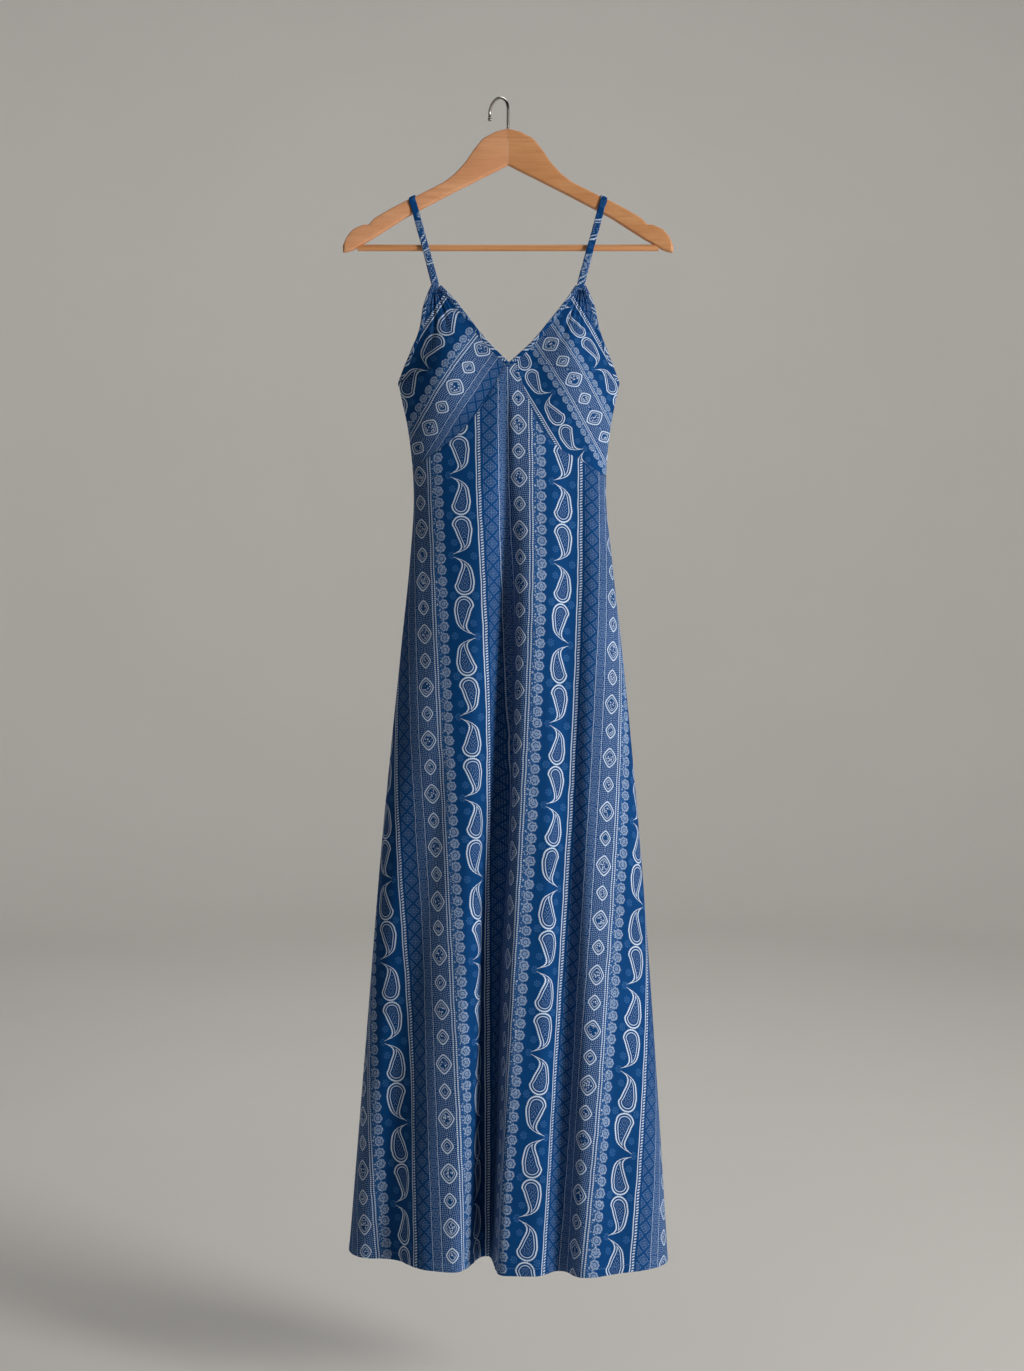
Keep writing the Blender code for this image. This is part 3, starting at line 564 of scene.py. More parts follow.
def panel(name, ring, share, drops, stand_out, creases, finishes, turned_in=0.0):
    """A skirt panel over a grid of shares of its width and drops: the dress's form less its soft
    creases and the hem's puckers. The first row is turned in by the depth given."""
    angles = angles_at_shares(ring, share, drops)
    gap = SEAM_GAP / 2 / column(stand_out, drops)
    start = ring[1][0]
    angles = np.clip(angles, start + gap, start + math.pi - gap)
    length = np.interp(drops, ring[0], ring[2][:, -1])
    u = (share[None, :] - 0.5) * length
    above = HEM_DROP - drops
    surface = tube_point(angles, drops)
    normal = grid_normal(surface)
    still = np.clip((drops - drops[:1]) / CREASE_START, 0.0, 1.0) * np.sin(np.pi * share)[None, :] ** 0.35
    uneven = np.sin(u / 3.1 + 1.7 * np.sin(u / 41.0)) * (0.6 + 0.4 * np.sin(u / 17.0))
    pucker = HEM_PUCKER * np.exp(-(above - HEM_TURN) ** 2 / HEM_PUCKER_REACH) * uneven
    surface = surface - normal * (creased(u, drops, creases) * still + pucker * still)[..., None]
    hem_roll = np.where(above < HEM_TURN, HEM_ROLL, 0.0) * np.clip(above / 1.5, 0, 1)
    surface = surface + normal * hem_roll[..., None]
    surface[0] -= normal[0] * turned_in
    v = drops + PRINT_DOWN - PRINT_SLANT * u - PRINT_SAG * u * u
    thickness = np.where(above < HEM_TURN + 1, HEM_THICK, CLOTH_THICK)
    piece = cloth_shell(name, surface, np.stack([u, v], -1), thickness, finishes, above)
    width = float(length[-1].mean())
    tall = float(HEM_DROP - drops[0].min())
    area = float(np.trapz(length[:, 0], drops.mean(1)))
    return piece, width * MM, tall * MM, area * MM * MM


def cup_print(side, x, drop):
    """Where the print lies on a cup: its stripes run along the bodice seam, so they are read
    across that slant. The tables are the stripes' edges, from the seam up to the strap."""
    if side < 0:
        across = -0.834 * x - 0.552 * drop
        along = -0.552 * x + 0.834 * drop
        u = np.interp(across, [-220, -207.6, -187, -176.6, -145.2, -129.6, -85, -40],
                      [-56, -44, -15, 0, 28.5, 50, 94, 139])
        v = PAISLEY_TOP + 2.5 * PAISLEY_PITCH - (along - 298.6) * 1.125
    else:
        across = 0.857 * x - 0.516 * drop + 127.4
        along = 0.516 * x + 0.857 * drop
        u = np.interp(across, [-81, -65.5, -59, -43, -27, -18, -14, 0, 14, 18, 27, 43, 56, 90],
                      [125, 103, 94, 72, 50, 32, 25, 12.5, 25, 32, 50, 72, 94, 140])
        v = PAISLEY_TOP + (along - 336.0) * 1.25
    return np.stack([u, v], -1)


def cup(side, name, finishes):
    """One cup: rows run from the armhole edge to the neck edge, and lower from the side seam to
    the bodice seam. The middle is full, and gathers run down from the strap."""
    inset = BINDING_WIDTH - CLOTH_TUCK
    neck = neck_curve(side, inset, CUP_EDGE_POINTS, CUP_START_SHARE)[:-1]
    arm = arm_curve(side, inset, CUP_EDGE_POINTS, CUP_START_SHARE)[:-1]
    count = CUP_SEAM_POINTS
    edge = bodice_edge(count)
    seam = edge[count - 1::-1] if side < 0 else edge[count + 1:]
    seam = seam - np.array([0.0, SEAM_GAP])
    low = seam[-1, 1] - CUP_CORNER
    bend = np.clip((np.arange(count) - (count - 6)) / 5.0, 0.0, 1.0)
    seam[:, 0] -= side * CUP_CORNER * bend ** 2
    seam[:, 1] -= CUP_CORNER * bend ** 2
    side_drop = np.linspace(ARM_EDGE[side][-1].drop + inset, low, count)
    inner = np.concatenate([neck, seam])
    outer_edge = np.concatenate([arm, np.stack([np.full(count, side * PAST_SEAM), side_drop], -1)])
    p = np.linspace(0.0, 1.0, CUP_COLUMNS)[None, :]
    angles = front_angle(outer_edge)[:, None] * (1 - p) + front_angle(inner)[:, None] * p
    drops = outer_edge[:, 1][:, None] * (1 - p) + inner[:, 1][:, None] * p
    q = np.linspace(0.0, 1.0, len(inner))[:, None]
    flat = tube_point(angles, drops)
    normal = tube_normal(angles, drops)
    ends = np.minimum(1.0, CUP_EDGE_RISE * q) * np.minimum(1.0, CUP_EDGE_RISE * (1 - q))
    edge_fade = (np.sin(np.pi * p) ** 2 * ends) ** CUP_EDGE_POWER
    beside = (flat[..., 0] - side * CUP_MIDDLE.x) / CUP_SPREAD.x
    below = (drops - CUP_MIDDLE.drop) / CUP_SPREAD.drop
    full = CUP_FULLNESS * np.exp(-beside ** 2 - below ** 2) * edge_fade
    lines = np.zeros(full.shape)
    for g in GATHERS[side]:
        reach = np.clip((drops - STRAP_FOOT) / g.length, 0.0, 1.0)
        fade = np.cos(np.pi / 2 * reach) ** 1.5
        lines = lines - g.depth * fade * np.exp(-((p - g.place) / g.half_width) ** 2)
    lines = lines * np.sin(np.pi * p) ** 0.5
    surface = flat + normal * (full + lines)[..., None]
    uv = cup_print(side, flat[..., 0], drops)
    if side > 0:
        surface, uv = surface[:, ::-1], uv[:, ::-1]
    thickness = np.full(surface.shape[:2], CLOTH_THICK)
    above = np.full(surface.shape[:2], 1000.0)
    piece = cloth_shell(name, surface, uv, thickness, finishes, above)
    along_rows = np.diff(surface, axis=1)
    down_columns = np.diff(surface, axis=0)
    wide = float(np.linalg.norm(along_rows, axis=2).sum(1).max())
    tall = float(np.linalg.norm(down_columns, axis=2).sum(0).max())
    area = float(np.linalg.norm(np.cross(down_columns[:, :-1], along_rows[:-1]), axis=2).sum())
    return piece, wide * MM, tall * MM, area * MM * MM


def squarer(wave_values, power):
    """A round profile's sines or cosines, made squarer by a power below one."""
    return np.sign(wave_values) * np.abs(wave_values) ** power


def rolled_edge(name, outer_points, inner_points, normal, ruche, finishes):
    """A bias binding rolled over an edge: an oval profile between the two edges of the binding,
    with small ruches along it where the cloth is drawn up."""
    middle = (outer_points + inner_points) / 2 - normal * (WALL / 2)
    across = (outer_points - inner_points) / 2
    walked = walked_along(middle)
    turn = np.linspace(0.0, 2 * np.pi, BINDING_SIDES, endpoint=False)
    wide = squarer(np.cos(turn), 0.8)
    lift = squarer(np.sin(turn), 0.8)
    wave = np.sin(walked / 0.55 + 1.3 * np.sin(walked / 7.0)) * ruche
    height = BINDING_THICK / 2 * (1 + 0.22 * wave)
    spread = 0.97 + 0.03 * np.sin(walked / 4.3)
    rings = (middle[:, None, :] + across[:, None, :] * (wide[None, :, None] * spread[:, None, None])
             + normal[:, None, :] * (lift[None, :] * height[:, None])[..., None])
    around = np.linspace(0.0, 17.0, BINDING_SIDES + 1)
    along = walked[:, None] + np.zeros(BINDING_SIDES + 1)
    uv = np.stack([0.72 * along + 0.69 * around, 0.69 * along - 0.72 * around + PAISLEY_TOP], -1)
    return loft(name, rings, uv, finishes)


def front_binding(name, side, curve_of, near_point, finishes):
    """A bound front edge, from the strap to the neck's point or the underarm."""
    outer_curve = curve_of(side, 0.0, BINDING_STEPS)
    inner_curve = curve_of(side, BINDING_WIDTH, BINDING_STEPS)
    outer_angle, inner_angle = front_angle(outer_curve), front_angle(inner_curve)
    outer_points = tube_point(outer_angle, outer_curve[:, 1])
    inner_points = tube_point(inner_angle, inner_curve[:, 1])
    normal = tube_normal((outer_angle + inner_angle) / 2, (outer_curve[:, 1] + inner_curve[:, 1]) / 2)
    share = np.linspace(0.0, 1.0, BINDING_STEPS)
    ruche = 0.25 + 0.75 * np.exp(-(share / 0.12) ** 2) + near_point * np.exp(-((1 - share) / 0.16) ** 2)
    return rolled_edge(name, outer_points, inner_points, normal, ruche, finishes)


def back_binding(finishes):
    """The bound top edge of the back, from side seam to side seam."""
    ring = half_ring(math.pi)
    share = np.linspace(0.0, 1.0, BACK_BINDING_STEPS)
    top = back_edge(share)
    angle = angles_at_shares(ring, share, top[None, :])[0]
    gap = SEAM_GAP / 2 / column("back", top)
    angle = np.clip(angle, math.pi + gap, 2 * math.pi - gap)
    outer_points = tube_point(angle, top)
    inner_points = tube_point(angle, top + BINDING_WIDTH)
    normal = tube_normal(angle, top + BINDING_WIDTH / 2)
    ruche = np.full(BACK_BINDING_STEPS, 0.35)
    return rolled_edge("back_binding_cloth", outer_points, inner_points, normal, ruche, finishes)


def arm_y(out):
    return -ARM_SWEEP * (np.abs(out) / ARM_REACH) ** ARM_SWEEP_POWER


def arm_edge(field, out):
    return np.interp(out, [r.out for r in ARM_ROWS], [getattr(r, field) for r in ARM_ROWS])


def strap_line():
    """The strap's centre line from the cup's top, up the front, over the arm and down behind, as
    rows of how far out it is, its depth, its drop and how its width tilts."""
    rest = float(arm_edge("top", STRAP_REST))
    slope = float(arm_edge("top", STRAP_REST + 5) - arm_edge("top", STRAP_REST - 5)) / 10
    middle_y = float(arm_y(STRAP_REST))
    flat = ARM_THICK / 2 - ARM_ROUND
    reach = ARM_ROUND + STRAP_CLEAR + STRAP_THICK / 2
    over = [
        (STRAP_REST, middle_y + way * flat - reach * math.cos(turn),
         rest + ARM_ROUND - reach * math.sin(turn), slope)
        for way, turns in ((-1, (0, 30, 60, 90)), (1, (90, 120, 150, 180)))
        for turn in np.radians(turns)
    ]
    front_face = middle_y - flat - reach
    rear_face = middle_y + flat + reach
    back_top = float(back_edge(0.5 - 0.5 * BACK_STRAP_X / BACK_HALF_WIDTH)) - STRAP_BACK_GAP
    back_y = float(tube_point(angle_at(BACK_STRAP_X, back_top) + math.pi, back_top)[1])
    foot_y = float(tube_point(angle_at(STRAP_FOOT_X, STRAP_FOOT), STRAP_FOOT)[1])
    front = [(row.out, row.y + foot_y, row.drop, row.tilt) for row in STRAP_FRONT]
    under, by_arm = STRAP_UNDER_ARM_FRONT, STRAP_BY_ARM
    front += [(under.out, front_face + under.y, under.drop, under.tilt),
              (by_arm.out, front_face, by_arm.drop, slope)]
    under = STRAP_UNDER_ARM_BACK
    rear = [(by_arm.out, rear_face, by_arm.drop, slope),
            (under.out, rear_face + under.y, under.drop, under.tilt)]
    rear += [(row.out, row.y, row.drop, row.tilt) for row in STRAP_BACK]
    rear += [(BACK_STRAP_X, back_y - STRAP_BACK_LIFT, back_top, 0.0)]
    return np.array(front + over + rear)


def strap(side, name, finishes):
    """A flat strap along its line: a rounded flat profile, a little crowned, with its width lying
    along the arm where it crosses it, and ruched where the cup is gathered into it."""
    line = strap_line()
    place = np.stack([side * line[:, 0], line[:, 1], -line[:, 2]], -1)
    sweep = np.where(line[:, 2] < STRAP_ARM_DROP, ARM_SLANT, 0.0)
    width_way = np.stack([np.full(len(line), side * 1.0), sweep, -line[:, 3]], -1)
    walked = walked_along(place)
    at = np.linspace(0.0, walked[-1], STRAP_STEPS)
    centre = np.stack([through(walked, place[:, k], at) for k in range(3)], -1)
    wide = unit(np.stack([np.interp(at, walked, width_way[:, k]) for k in range(3)], -1))
    thick = unit(np.cross(wide, np.gradient(centre, axis=0)))
    turn = np.linspace(0.0, 2 * np.pi, STRAP_SIDES, endpoint=False)
    flat = squarer(np.cos(turn), 0.55)
    lift = squarer(np.sin(turn), 0.75)
    ruche = np.exp(-(at / 14.0) ** 2)
    height = STRAP_THICK / 2 * (0.98 + 0.16 * ruche * np.sin(at / 0.6))
    spread = STRAP_WIDTH / 2 * (0.99 + 0.012 * np.sin(at / 6.1) + 0.01 * np.sin(at / 2.3))
    rings = (centre[:, None, :] + wide[:, None, :] * (flat[None, :] * spread[:, None])[..., None]
             + thick[:, None, :] * (lift[None, :] * height[:, None])[..., None])
    around = np.linspace(0.0, 23.0, STRAP_SIDES + 1)
    along = at[:, None] + np.zeros(STRAP_SIDES + 1)
    uv = np.stack([0.55 * along + 0.83 * around + 20 * side, 0.83 * along - 0.55 * around], -1)
    return loft(name, rings, uv, finishes), float(walked[-1]) * MM


# Pieces of the hanger


def hanger_arm(side, name, finish):
    """One contoured arm: rounded rectangles along its reach, swept forward. Its edges are the
    arm table's, with each corner of their outline eased over three millimetres."""
    out = np.linspace(ARM_ROWS[0].out, ARM_REACH, ARM_STEPS)
    ease = np.linspace(-2.2, 2.2, 9)
    spread = np.clip(out[:, None] + ease[None, :], ARM_ROWS[0].out, ARM_REACH)
    top = arm_edge("top", spread).mean(1)
    bottom = arm_edge("bottom", spread).mean(1)
    tip = np.clip((ARM_REACH - out) / 4.0, 0.0, 1.0)
    half = ARM_THICK / 2 * (0.45 + 0.55 * np.sqrt(1 - (1 - tip) ** 2))
    radius = np.minimum(np.minimum(ARM_ROUND, (bottom - top) * 0.3), half - 0.2)
    rings = []
    steps = np.linspace(0.0, 0.5, ARM_CORNER_STEPS) * math.pi
    for sign, low, start in ((-1, top, 0.0), (1, top, 0.5), (1, bottom, 1.0), (-1, bottom, 1.5)):
        into = 1 if low is top else -1
        for step in steps:
            turn = start * math.pi + step
            rings.append(np.stack([
                side * out,
                arm_y(out) + sign * (half - radius) - radius * math.cos(turn),
                -(low + into * radius) + radius * math.sin(turn)], -1))
    return loft(name, np.stack(rings, axis=1), None, [finish])


def round_rings(centres, radii, across, sides):
    """Round rings along a path in the plane whose normal is across."""
    above = np.cross(unit(np.gradient(centres, axis=0)), across)
    angle = np.linspace(0.0, 2 * np.pi, sides, endpoint=False)
    spoke = (np.cos(angle)[None, :, None] * across[None, None, :]
             + np.sin(angle)[None, :, None] * above[:, None, :])
    return centres[:, None, :] + spoke * radii[:, None, None]


def hanger_hook(finish):
    """The hook: bent wire that rises from the wood, turns in one open arc and ends in a round tip."""
    up = np.array([0.0, 0.0, 1.0])
    middle = HOOK_LEAN * HOOK_RADIUS + up * (HOOK_WIRE - HOOK_RADIUS)
    stem = np.linspace(-HOOK_ROOT_DROP, middle[2] - 1.5, STEM_STEPS)[:, None] * up
    turn = np.linspace(0.0, HOOK_SWEEP, ARC_STEPS)[:, None]
    arc = middle - HOOK_LEAN * HOOK_RADIUS * np.cos(turn) + up * HOOK_RADIUS * np.sin(turn)
    ahead = HOOK_LEAN * math.sin(HOOK_SWEEP) + up * math.cos(HOOK_SWEEP)
    swell = np.radians(np.linspace(138.0, 6.0, TIP_STEPS))
    tip = arc[-1] + ahead * HOOK_TIP + ahead * np.cos(swell)[:, None] * HOOK_TIP
    centres = np.concatenate([stem, arc, tip])
    radii = np.concatenate([np.full(len(stem) + len(arc), HOOK_WIRE), HOOK_TIP * np.sin(swell)])
    rings = round_rings(centres, radii, np.cross(HOOK_LEAN, up), WIRE_SIDES)
    return loft("hook_wire", rings, None, [finish])


# Materials


def linear(code):
    """An sRGB hex colour as linear light."""
    parts = [int(code[k:k + 2], 16) / 255 for k in (1, 3, 5)]
    return (*[c / 12.92 if c <= 0.04045 else ((c + 0.055) / 1.055) ** 2.4 for c in parts], 1.0)


def add(tree, kind, *values, out=0, **settings):
    """Adds one node: its settings, then its inputs in order, each a number, a colour or a socket to
    link (None leaves one as it is). A dictionary sets inputs by name. Gives one output."""
    node = tree.nodes.new("ShaderNode" + kind)
    for setting, value in settings.items():
        setattr(node, setting, value)
    pairs = [(node.inputs[k], v) for k, v in enumerate(values) if not isinstance(v, dict)]
    for value in values:
        if isinstance(value, dict):
            pairs += [(node.inputs[key], v) for key, v in value.items()]
    for socket, value in pairs:
        if isinstance(value, bpy.types.NodeSocket):
            tree.links.new(value, socket)
        elif value is not None:
            socket.default_value = value
    return node.outputs[out] if len(node.outputs) else node


def new_finish(name):
    finish = bpy.data.materials.new(name)
    finish.use_nodes = True
    finish.node_tree.nodes.clear()
    return finish, finish.node_tree


def off_line(t, place, line):
    """How far a place lies from a line, to either side."""
    off = add(t, "Math", place, line, operation="SUBTRACT")
    return add(t, "Math", off, operation="ABSOLUTE")


def from_middle(t, x, y):
    """How far the point x, y lies from x = y = 0."""
    return add(t, "VectorMath", add(t, "CombineXYZ", x, y), out=1, operation="LENGTH")


def wave(t, distance, length, form):
    """A wave of that length along a distance, between -1 and 1."""
    turn = add(t, "Math", distance, 2 * math.pi / length, operation="MULTIPLY")
    return add(t, "Math", turn, operation=form)


def in_row(t, v, start, pitch):
    """Which motif of a row down the cloth v lies in, and how far it is from that one's middle."""
    cell = add(t, "Math", v, start, operation="SUBTRACT")
    cell = add(t, "Math", cell, pitch, operation="DIVIDE")
    number = add(t, "Math", cell, operation="FLOOR")
    within = add(t, "Math", cell, number, operation="SUBTRACT")
    within = add(t, "Math", within, 0.5, operation="SUBTRACT")
    return number, add(t, "Math", within, pitch, operation="MULTIPLY")


def paisley_places(t, place, v):
    """How far a place lies across the stripe and along from its paisley's middle; then how far
    aside and how far up from the middle of the paisley's round head. They lie end to end, in
    pairs that meet by their heads and by their tails, and two of each six bend the other way."""
    across = add(t, "Math", place, PAISLEY_MIDDLE, operation="SUBTRACT")
    number, along = in_row(t, v, PAISLEY_TOP, PAISLEY_PITCH)
    odd = add(t, "Math", number, 2.0, operation="FLOORED_MODULO")
    way = add(t, "Math", odd, -2.0, 1.0, operation="MULTIPLY_ADD")
    sixth = add(t, "Math", number, 6.0, operation="FLOORED_MODULO")
    mirror = add(t, "Math", sixth, 3.5, operation="GREATER_THAN")
    mirror = add(t, "Math", mirror, -2.0, 1.0, operation="MULTIPLY_ADD")
    x = add(t, "Math", across, mirror, operation="MULTIPLY")
    to_head = PAISLEY_PITCH / 2 - PAISLEY_HEAD - PAISLEY_GAP
    return across, along, x, add(t, "Math", along, way, to_head, operation="MULTIPLY_ADD")


def paisley_edge(t, x, rise):
    """How far a place lies outside a paisley's edge, and how far on round it: a round head that
    tapers to a point along a bent middle line."""
    up = add(t, "Math", rise, 0.0, operation="MAXIMUM")
    bend = PAISLEY_BEND[-1]
    for part in PAISLEY_BEND[-2::-1]:
        bend = add(t, "Math", up, bend, part, operation="MULTIPLY_ADD")
    bend = add(t, "Math", bend, up, operation="MULTIPLY")
    bend = add(t, "Math", bend, 0.5, operation="ADD")
    side = add(t, "Math", x, bend, operation="SUBTRACT")
    out = add(t, "Math", side, operation="ABSOLUTE")
    half = add(t, "Math", up, PAISLEY_TALL, operation="DIVIDE")
    half = add(t, "Math", half, 1.25, operation="POWER")
    half = add(t, "Math", 1.0, half, operation="SUBTRACT")
    half = add(t, "Math", half, 0.0, operation="MAXIMUM")
    half = add(t, "Math", half, 0.80, operation="POWER")
    half = add(t, "Math", half, PAISLEY_HEAD, operation="MULTIPLY")
    past = add(t, "Math", rise, PAISLEY_TALL, operation="SUBTRACT")
    past = add(t, "Math", past, 0.0, operation="MAXIMUM")
    taper = add(t, "Math", out, half, operation="SUBTRACT")
    taper = add(t, "Math", taper, past, operation="ADD")
    head = add(t, "Math", from_middle(t, side, rise), PAISLEY_HEAD, operation="SUBTRACT")
    on_taper = add(t, "Math", rise, 0.0, operation="GREATER_THAN")
    edge = add(t, "Mix", {0: on_taper, 2: head, 3: taper}, data_type="FLOAT")
    turn = add(t, "Math", rise, out, operation="ARCTAN2")
    turn = add(t, "Math", turn, PAISLEY_HEAD, operation="MULTIPLY")
    return edge, add(t, "Mix", {0: on_taper, 2: turn, 3: rise}, data_type="FLOAT")


def rosettes(t, across, along, x, rise):
    """Rosettes of seven petals beside the joints of the paisleys and in the hollow of each."""
    beside = add(t, "Math", across, operation="ABSOLUTE")
    beside = add(t, "Math", beside, JOINT_ASIDE, operation="SUBTRACT")
    to_joint = add(t, "Math", along, operation="ABSOLUTE")
    to_joint = add(t, "Math", to_joint, JOINT_ALONG, operation="SUBTRACT")
    aside = add(t, "Math", x, HOLLOW_ASIDE, operation="ADD")
    above = add(t, "Math", rise, HOLLOW_UP, operation="SUBTRACT")
    joint = add(t, "CombineXYZ", beside, to_joint)
    hollow = add(t, "CombineXYZ", aside, above)
    near_joint = add(t, "VectorMath", joint, out=1, operation="LENGTH")
    near_hollow = add(t, "VectorMath", hollow, out=1, operation="LENGTH")
    nearer = add(t, "Math", near_joint, near_hollow, operation="LESS_THAN")
    away = add(t, "Math", near_joint, near_hollow, operation="MINIMUM")
    middle = add(t, "Mix", {0: nearer, 4: hollow, 5: joint}, data_type="VECTOR", out=1)
    spoke = add(t, "SeparateXYZ", middle)
    petals = add(t, "Math", spoke.node.outputs[1], spoke, operation="ARCTAN2")
    petals = add(t, "Math", petals, 7.0, operation="MULTIPLY")
    petals = add(t, "Math", petals, operation="COSINE")
    petals = add(t, "MapRange", petals, -0.6, 0.8, 0.35, 1.0)
    rim = add(t, "Math", petals, 1.1, 3.6, operation="MULTIPLY_ADD")
    rim = add(t, "Math", away, rim, operation="SUBTRACT")
    rim = add(t, "MapRange", rim, -0.4, 0.5, 1.0, 0.0)
    core = add(t, "MapRange", off_line(t, away, 1.9), 0.3, 0.7, 0.4, 1.0)
    rosette = add(t, "Math", rim, core, operation="MULTIPLY")
    return add(t, "Math", rosette, petals, operation="MULTIPLY")


def paisley_stripe(t, place, v):
    """Paisleys, each a toothed line, a dark gap, a finer line and a dotted heart, with faint
    rosettes outside them."""
    across, along, x, rise = paisley_places(t, place, v)
    edge, round_it = paisley_edge(t, x, rise)
    crest = add(t, "Math", round_it, 1.4, operation="PINGPONG")
    crest = add(t, "Math", crest, 0.6, 0.45, operation="MULTIPLY_ADD")
    line = add(t, "Math", edge, 0.9, operation="ADD")
    line = add(t, "Math", line, crest, operation="SUBTRACT")
    line = add(t, "MapRange", line, -0.25, 0.25, 1.0, 0.0)
    inner_side = add(t, "MapRange", edge, -2.1, -1.7, 0.0, 1.0)
    line = add(t, "Math", line, inner_side, operation="MULTIPLY")
    second = add(t, "MapRange", off_line(t, edge, -4.7), 0.4, 0.75, 0.90, 0.0)
    inside = add(t, "MapRange", edge, -7.2, -6.6, 1.0, 0.0)
    marks = add(t, "Math", wave(t, edge, 3.6, "SINE"), wave(t, round_it, 4.2, "SINE"), operation="MULTIPLY")
    marks = add(t, "MapRange", marks, 0.3, 0.6, 0.0, 0.30)
    heart = add(t, "Math", inside, marks, operation="MULTIPLY")
    white = add(t, "Math", second, heart, operation="MAXIMUM")
    white = add(t, "Math", line, white, operation="MAXIMUM")
    outside = add(t, "MapRange", edge, 1.0, 1.8, 0.0, 0.34)
    return white, add(t, "Math", rosettes(t, across, along, x, rise), outside, operation="MULTIPLY")


def rope_stripe(t, place, v):
    """A solid line and, beside it, a row of slanting beads."""
    line = add(t, "MapRange", off_line(t, place, ROPE_LINE), 0.50, 0.95, 0.95, 0.0)
    bead = add(t, "Math", place, 0.45, v, operation="MULTIPLY_ADD")
    bead = add(t, "Math", bead, 1.85, operation="PINGPONG")
    bead = add(t, "MapRange", bead, 0.75, 1.15, 0.0, 0.95)
    row = add(t, "MapRange", off_line(t, place, ROPE_BEADS), 1.4, 1.9, 1.0, 0.0)
    beads = add(t, "Math", bead, row, operation="MULTIPLY")
    return add(t, "Math", line, beads, operation="MAXIMUM"), 0.0


def lattice_stripe(t, place, v):
    """Diamonds in a row, with half diamonds between them, parted by crossed dark lines. Each is
    made of rows of fine dots, and has a small diamond line of dark cloth in it."""
    across = add(t, "Math", place, LATTICE_MIDDLE, operation="SUBTRACT")
    across = add(t, "Math", across, LATTICE_WIDE, operation="DIVIDE")
    down = add(t, "Math", v, LATTICE_PITCH, operation="DIVIDE")
    ways = []
    for slope in ("ADD", "SUBTRACT"):
        way = add(t, "Math", down, across, operation=slope)
        ways.append(add(t, "Math", way, 0.5, operation="PINGPONG"))
    middle = add(t, "Math", *ways, operation="MAXIMUM")
    inside = add(t, "MapRange", middle, 0.385, 0.42, 1.0, 0.0)
    dots = add(t, "Math", *[wave(t, way, 0.2, "COSINE") for way in ways], operation="MULTIPLY")
    dots = add(t, "MapRange", dots, 0.15, 0.55, 0.0, 1.0)
    ring = add(t, "MapRange", off_line(t, middle, 0.24), 0.02, 0.045, 0.15, 1.0)
    band = add(t, "MapRange", off_line(t, place, LATTICE_MIDDLE), 10.0, 10.5, 1.0, 0.0)
    inside = add(t, "Math", inside, ring, operation="MULTIPLY")
    inside = add(t, "Math", inside, band, operation="MULTIPLY")
    white = add(t, "Math", dots, 0.30, operation="MULTIPLY")
    white = add(t, "Math", white, inside, operation="MULTIPLY")
    return white, add(t, "Math", inside, 0.09, operation="MULTIPLY")


def flower(t, x, y, radius, petals):
    """A small flower of that radius about x = y = 0: a lobed rim, a gap and a round heart."""
    away = from_middle(t, x, y)
    lobe = add(t, "Math", y, x, operation="ARCTAN2")
    lobe = add(t, "Math", lobe, petals, operation="MULTIPLY")
    lobe = add(t, "Math", lobe, operation="COSINE")
    rim = add(t, "Math", lobe, 0.09 * radius, 0.80 * radius, operation="MULTIPLY_ADD")
    rim = add(t, "MapRange", off_line(t, away, rim), 0.09 * radius, 0.19 * radius, 1.0, 0.0)
    heart = add(t, "Math", lobe, 0.12 * radius, 0.36 * radius, operation="MULTIPLY_ADD")
    heart = add(t, "Math", away, heart, operation="SUBTRACT")
    heart = add(t, "MapRange", heart, -0.07 * radius, 0.07 * radius, 1.0, 0.0)
    core = add(t, "MapRange", away, 0.08 * radius, 0.16 * radius, 0.0, 1.0)
    heart = add(t, "Math", heart, core, operation="MULTIPLY")
    return add(t, "Math", rim, heart, operation="MAXIMUM")


def ring_stripe(t, place, v, dots):
    """A row of round flowers between fine beaded lines."""
    across = add(t, "Math", place, RING_MIDDLE, operation="SUBTRACT")
    down = add(t, "Math", v, RING_PITCH / 2, operation="PINGPONG")
    rounds = add(t, "Math", flower(t, across, down, RING_RADIUS, 6.0), 0.16, operation="MULTIPLY")
    bead = add(t, "Math", v, 1.3, operation="PINGPONG")
    bead = add(t, "MapRange", bead, 0.35, 0.75, 0.1, 0.85)
    off = add(t, "Math", across, operation="ABSOLUTE")
    off = add(t, "Math", off, RING_BEADS, operation="SUBTRACT")
    row = add(t, "Math", off, operation="ABSOLUTE")
    row = add(t, "MapRange", row, 0.45, 0.85, 1.0, 0.0)
    specks = add(t, "MapRange", off, -0.9, -0.6, 0.14, 0.0)
    specks = add(t, "Math", dots, specks, operation="MULTIPLY")
    beads = add(t, "Math", bead, row, operation="MULTIPLY")
    white = add(t, "Math", rounds, specks, operation="MAXIMUM")
    return add(t, "Math", beads, white, operation="MAXIMUM"), 0.06


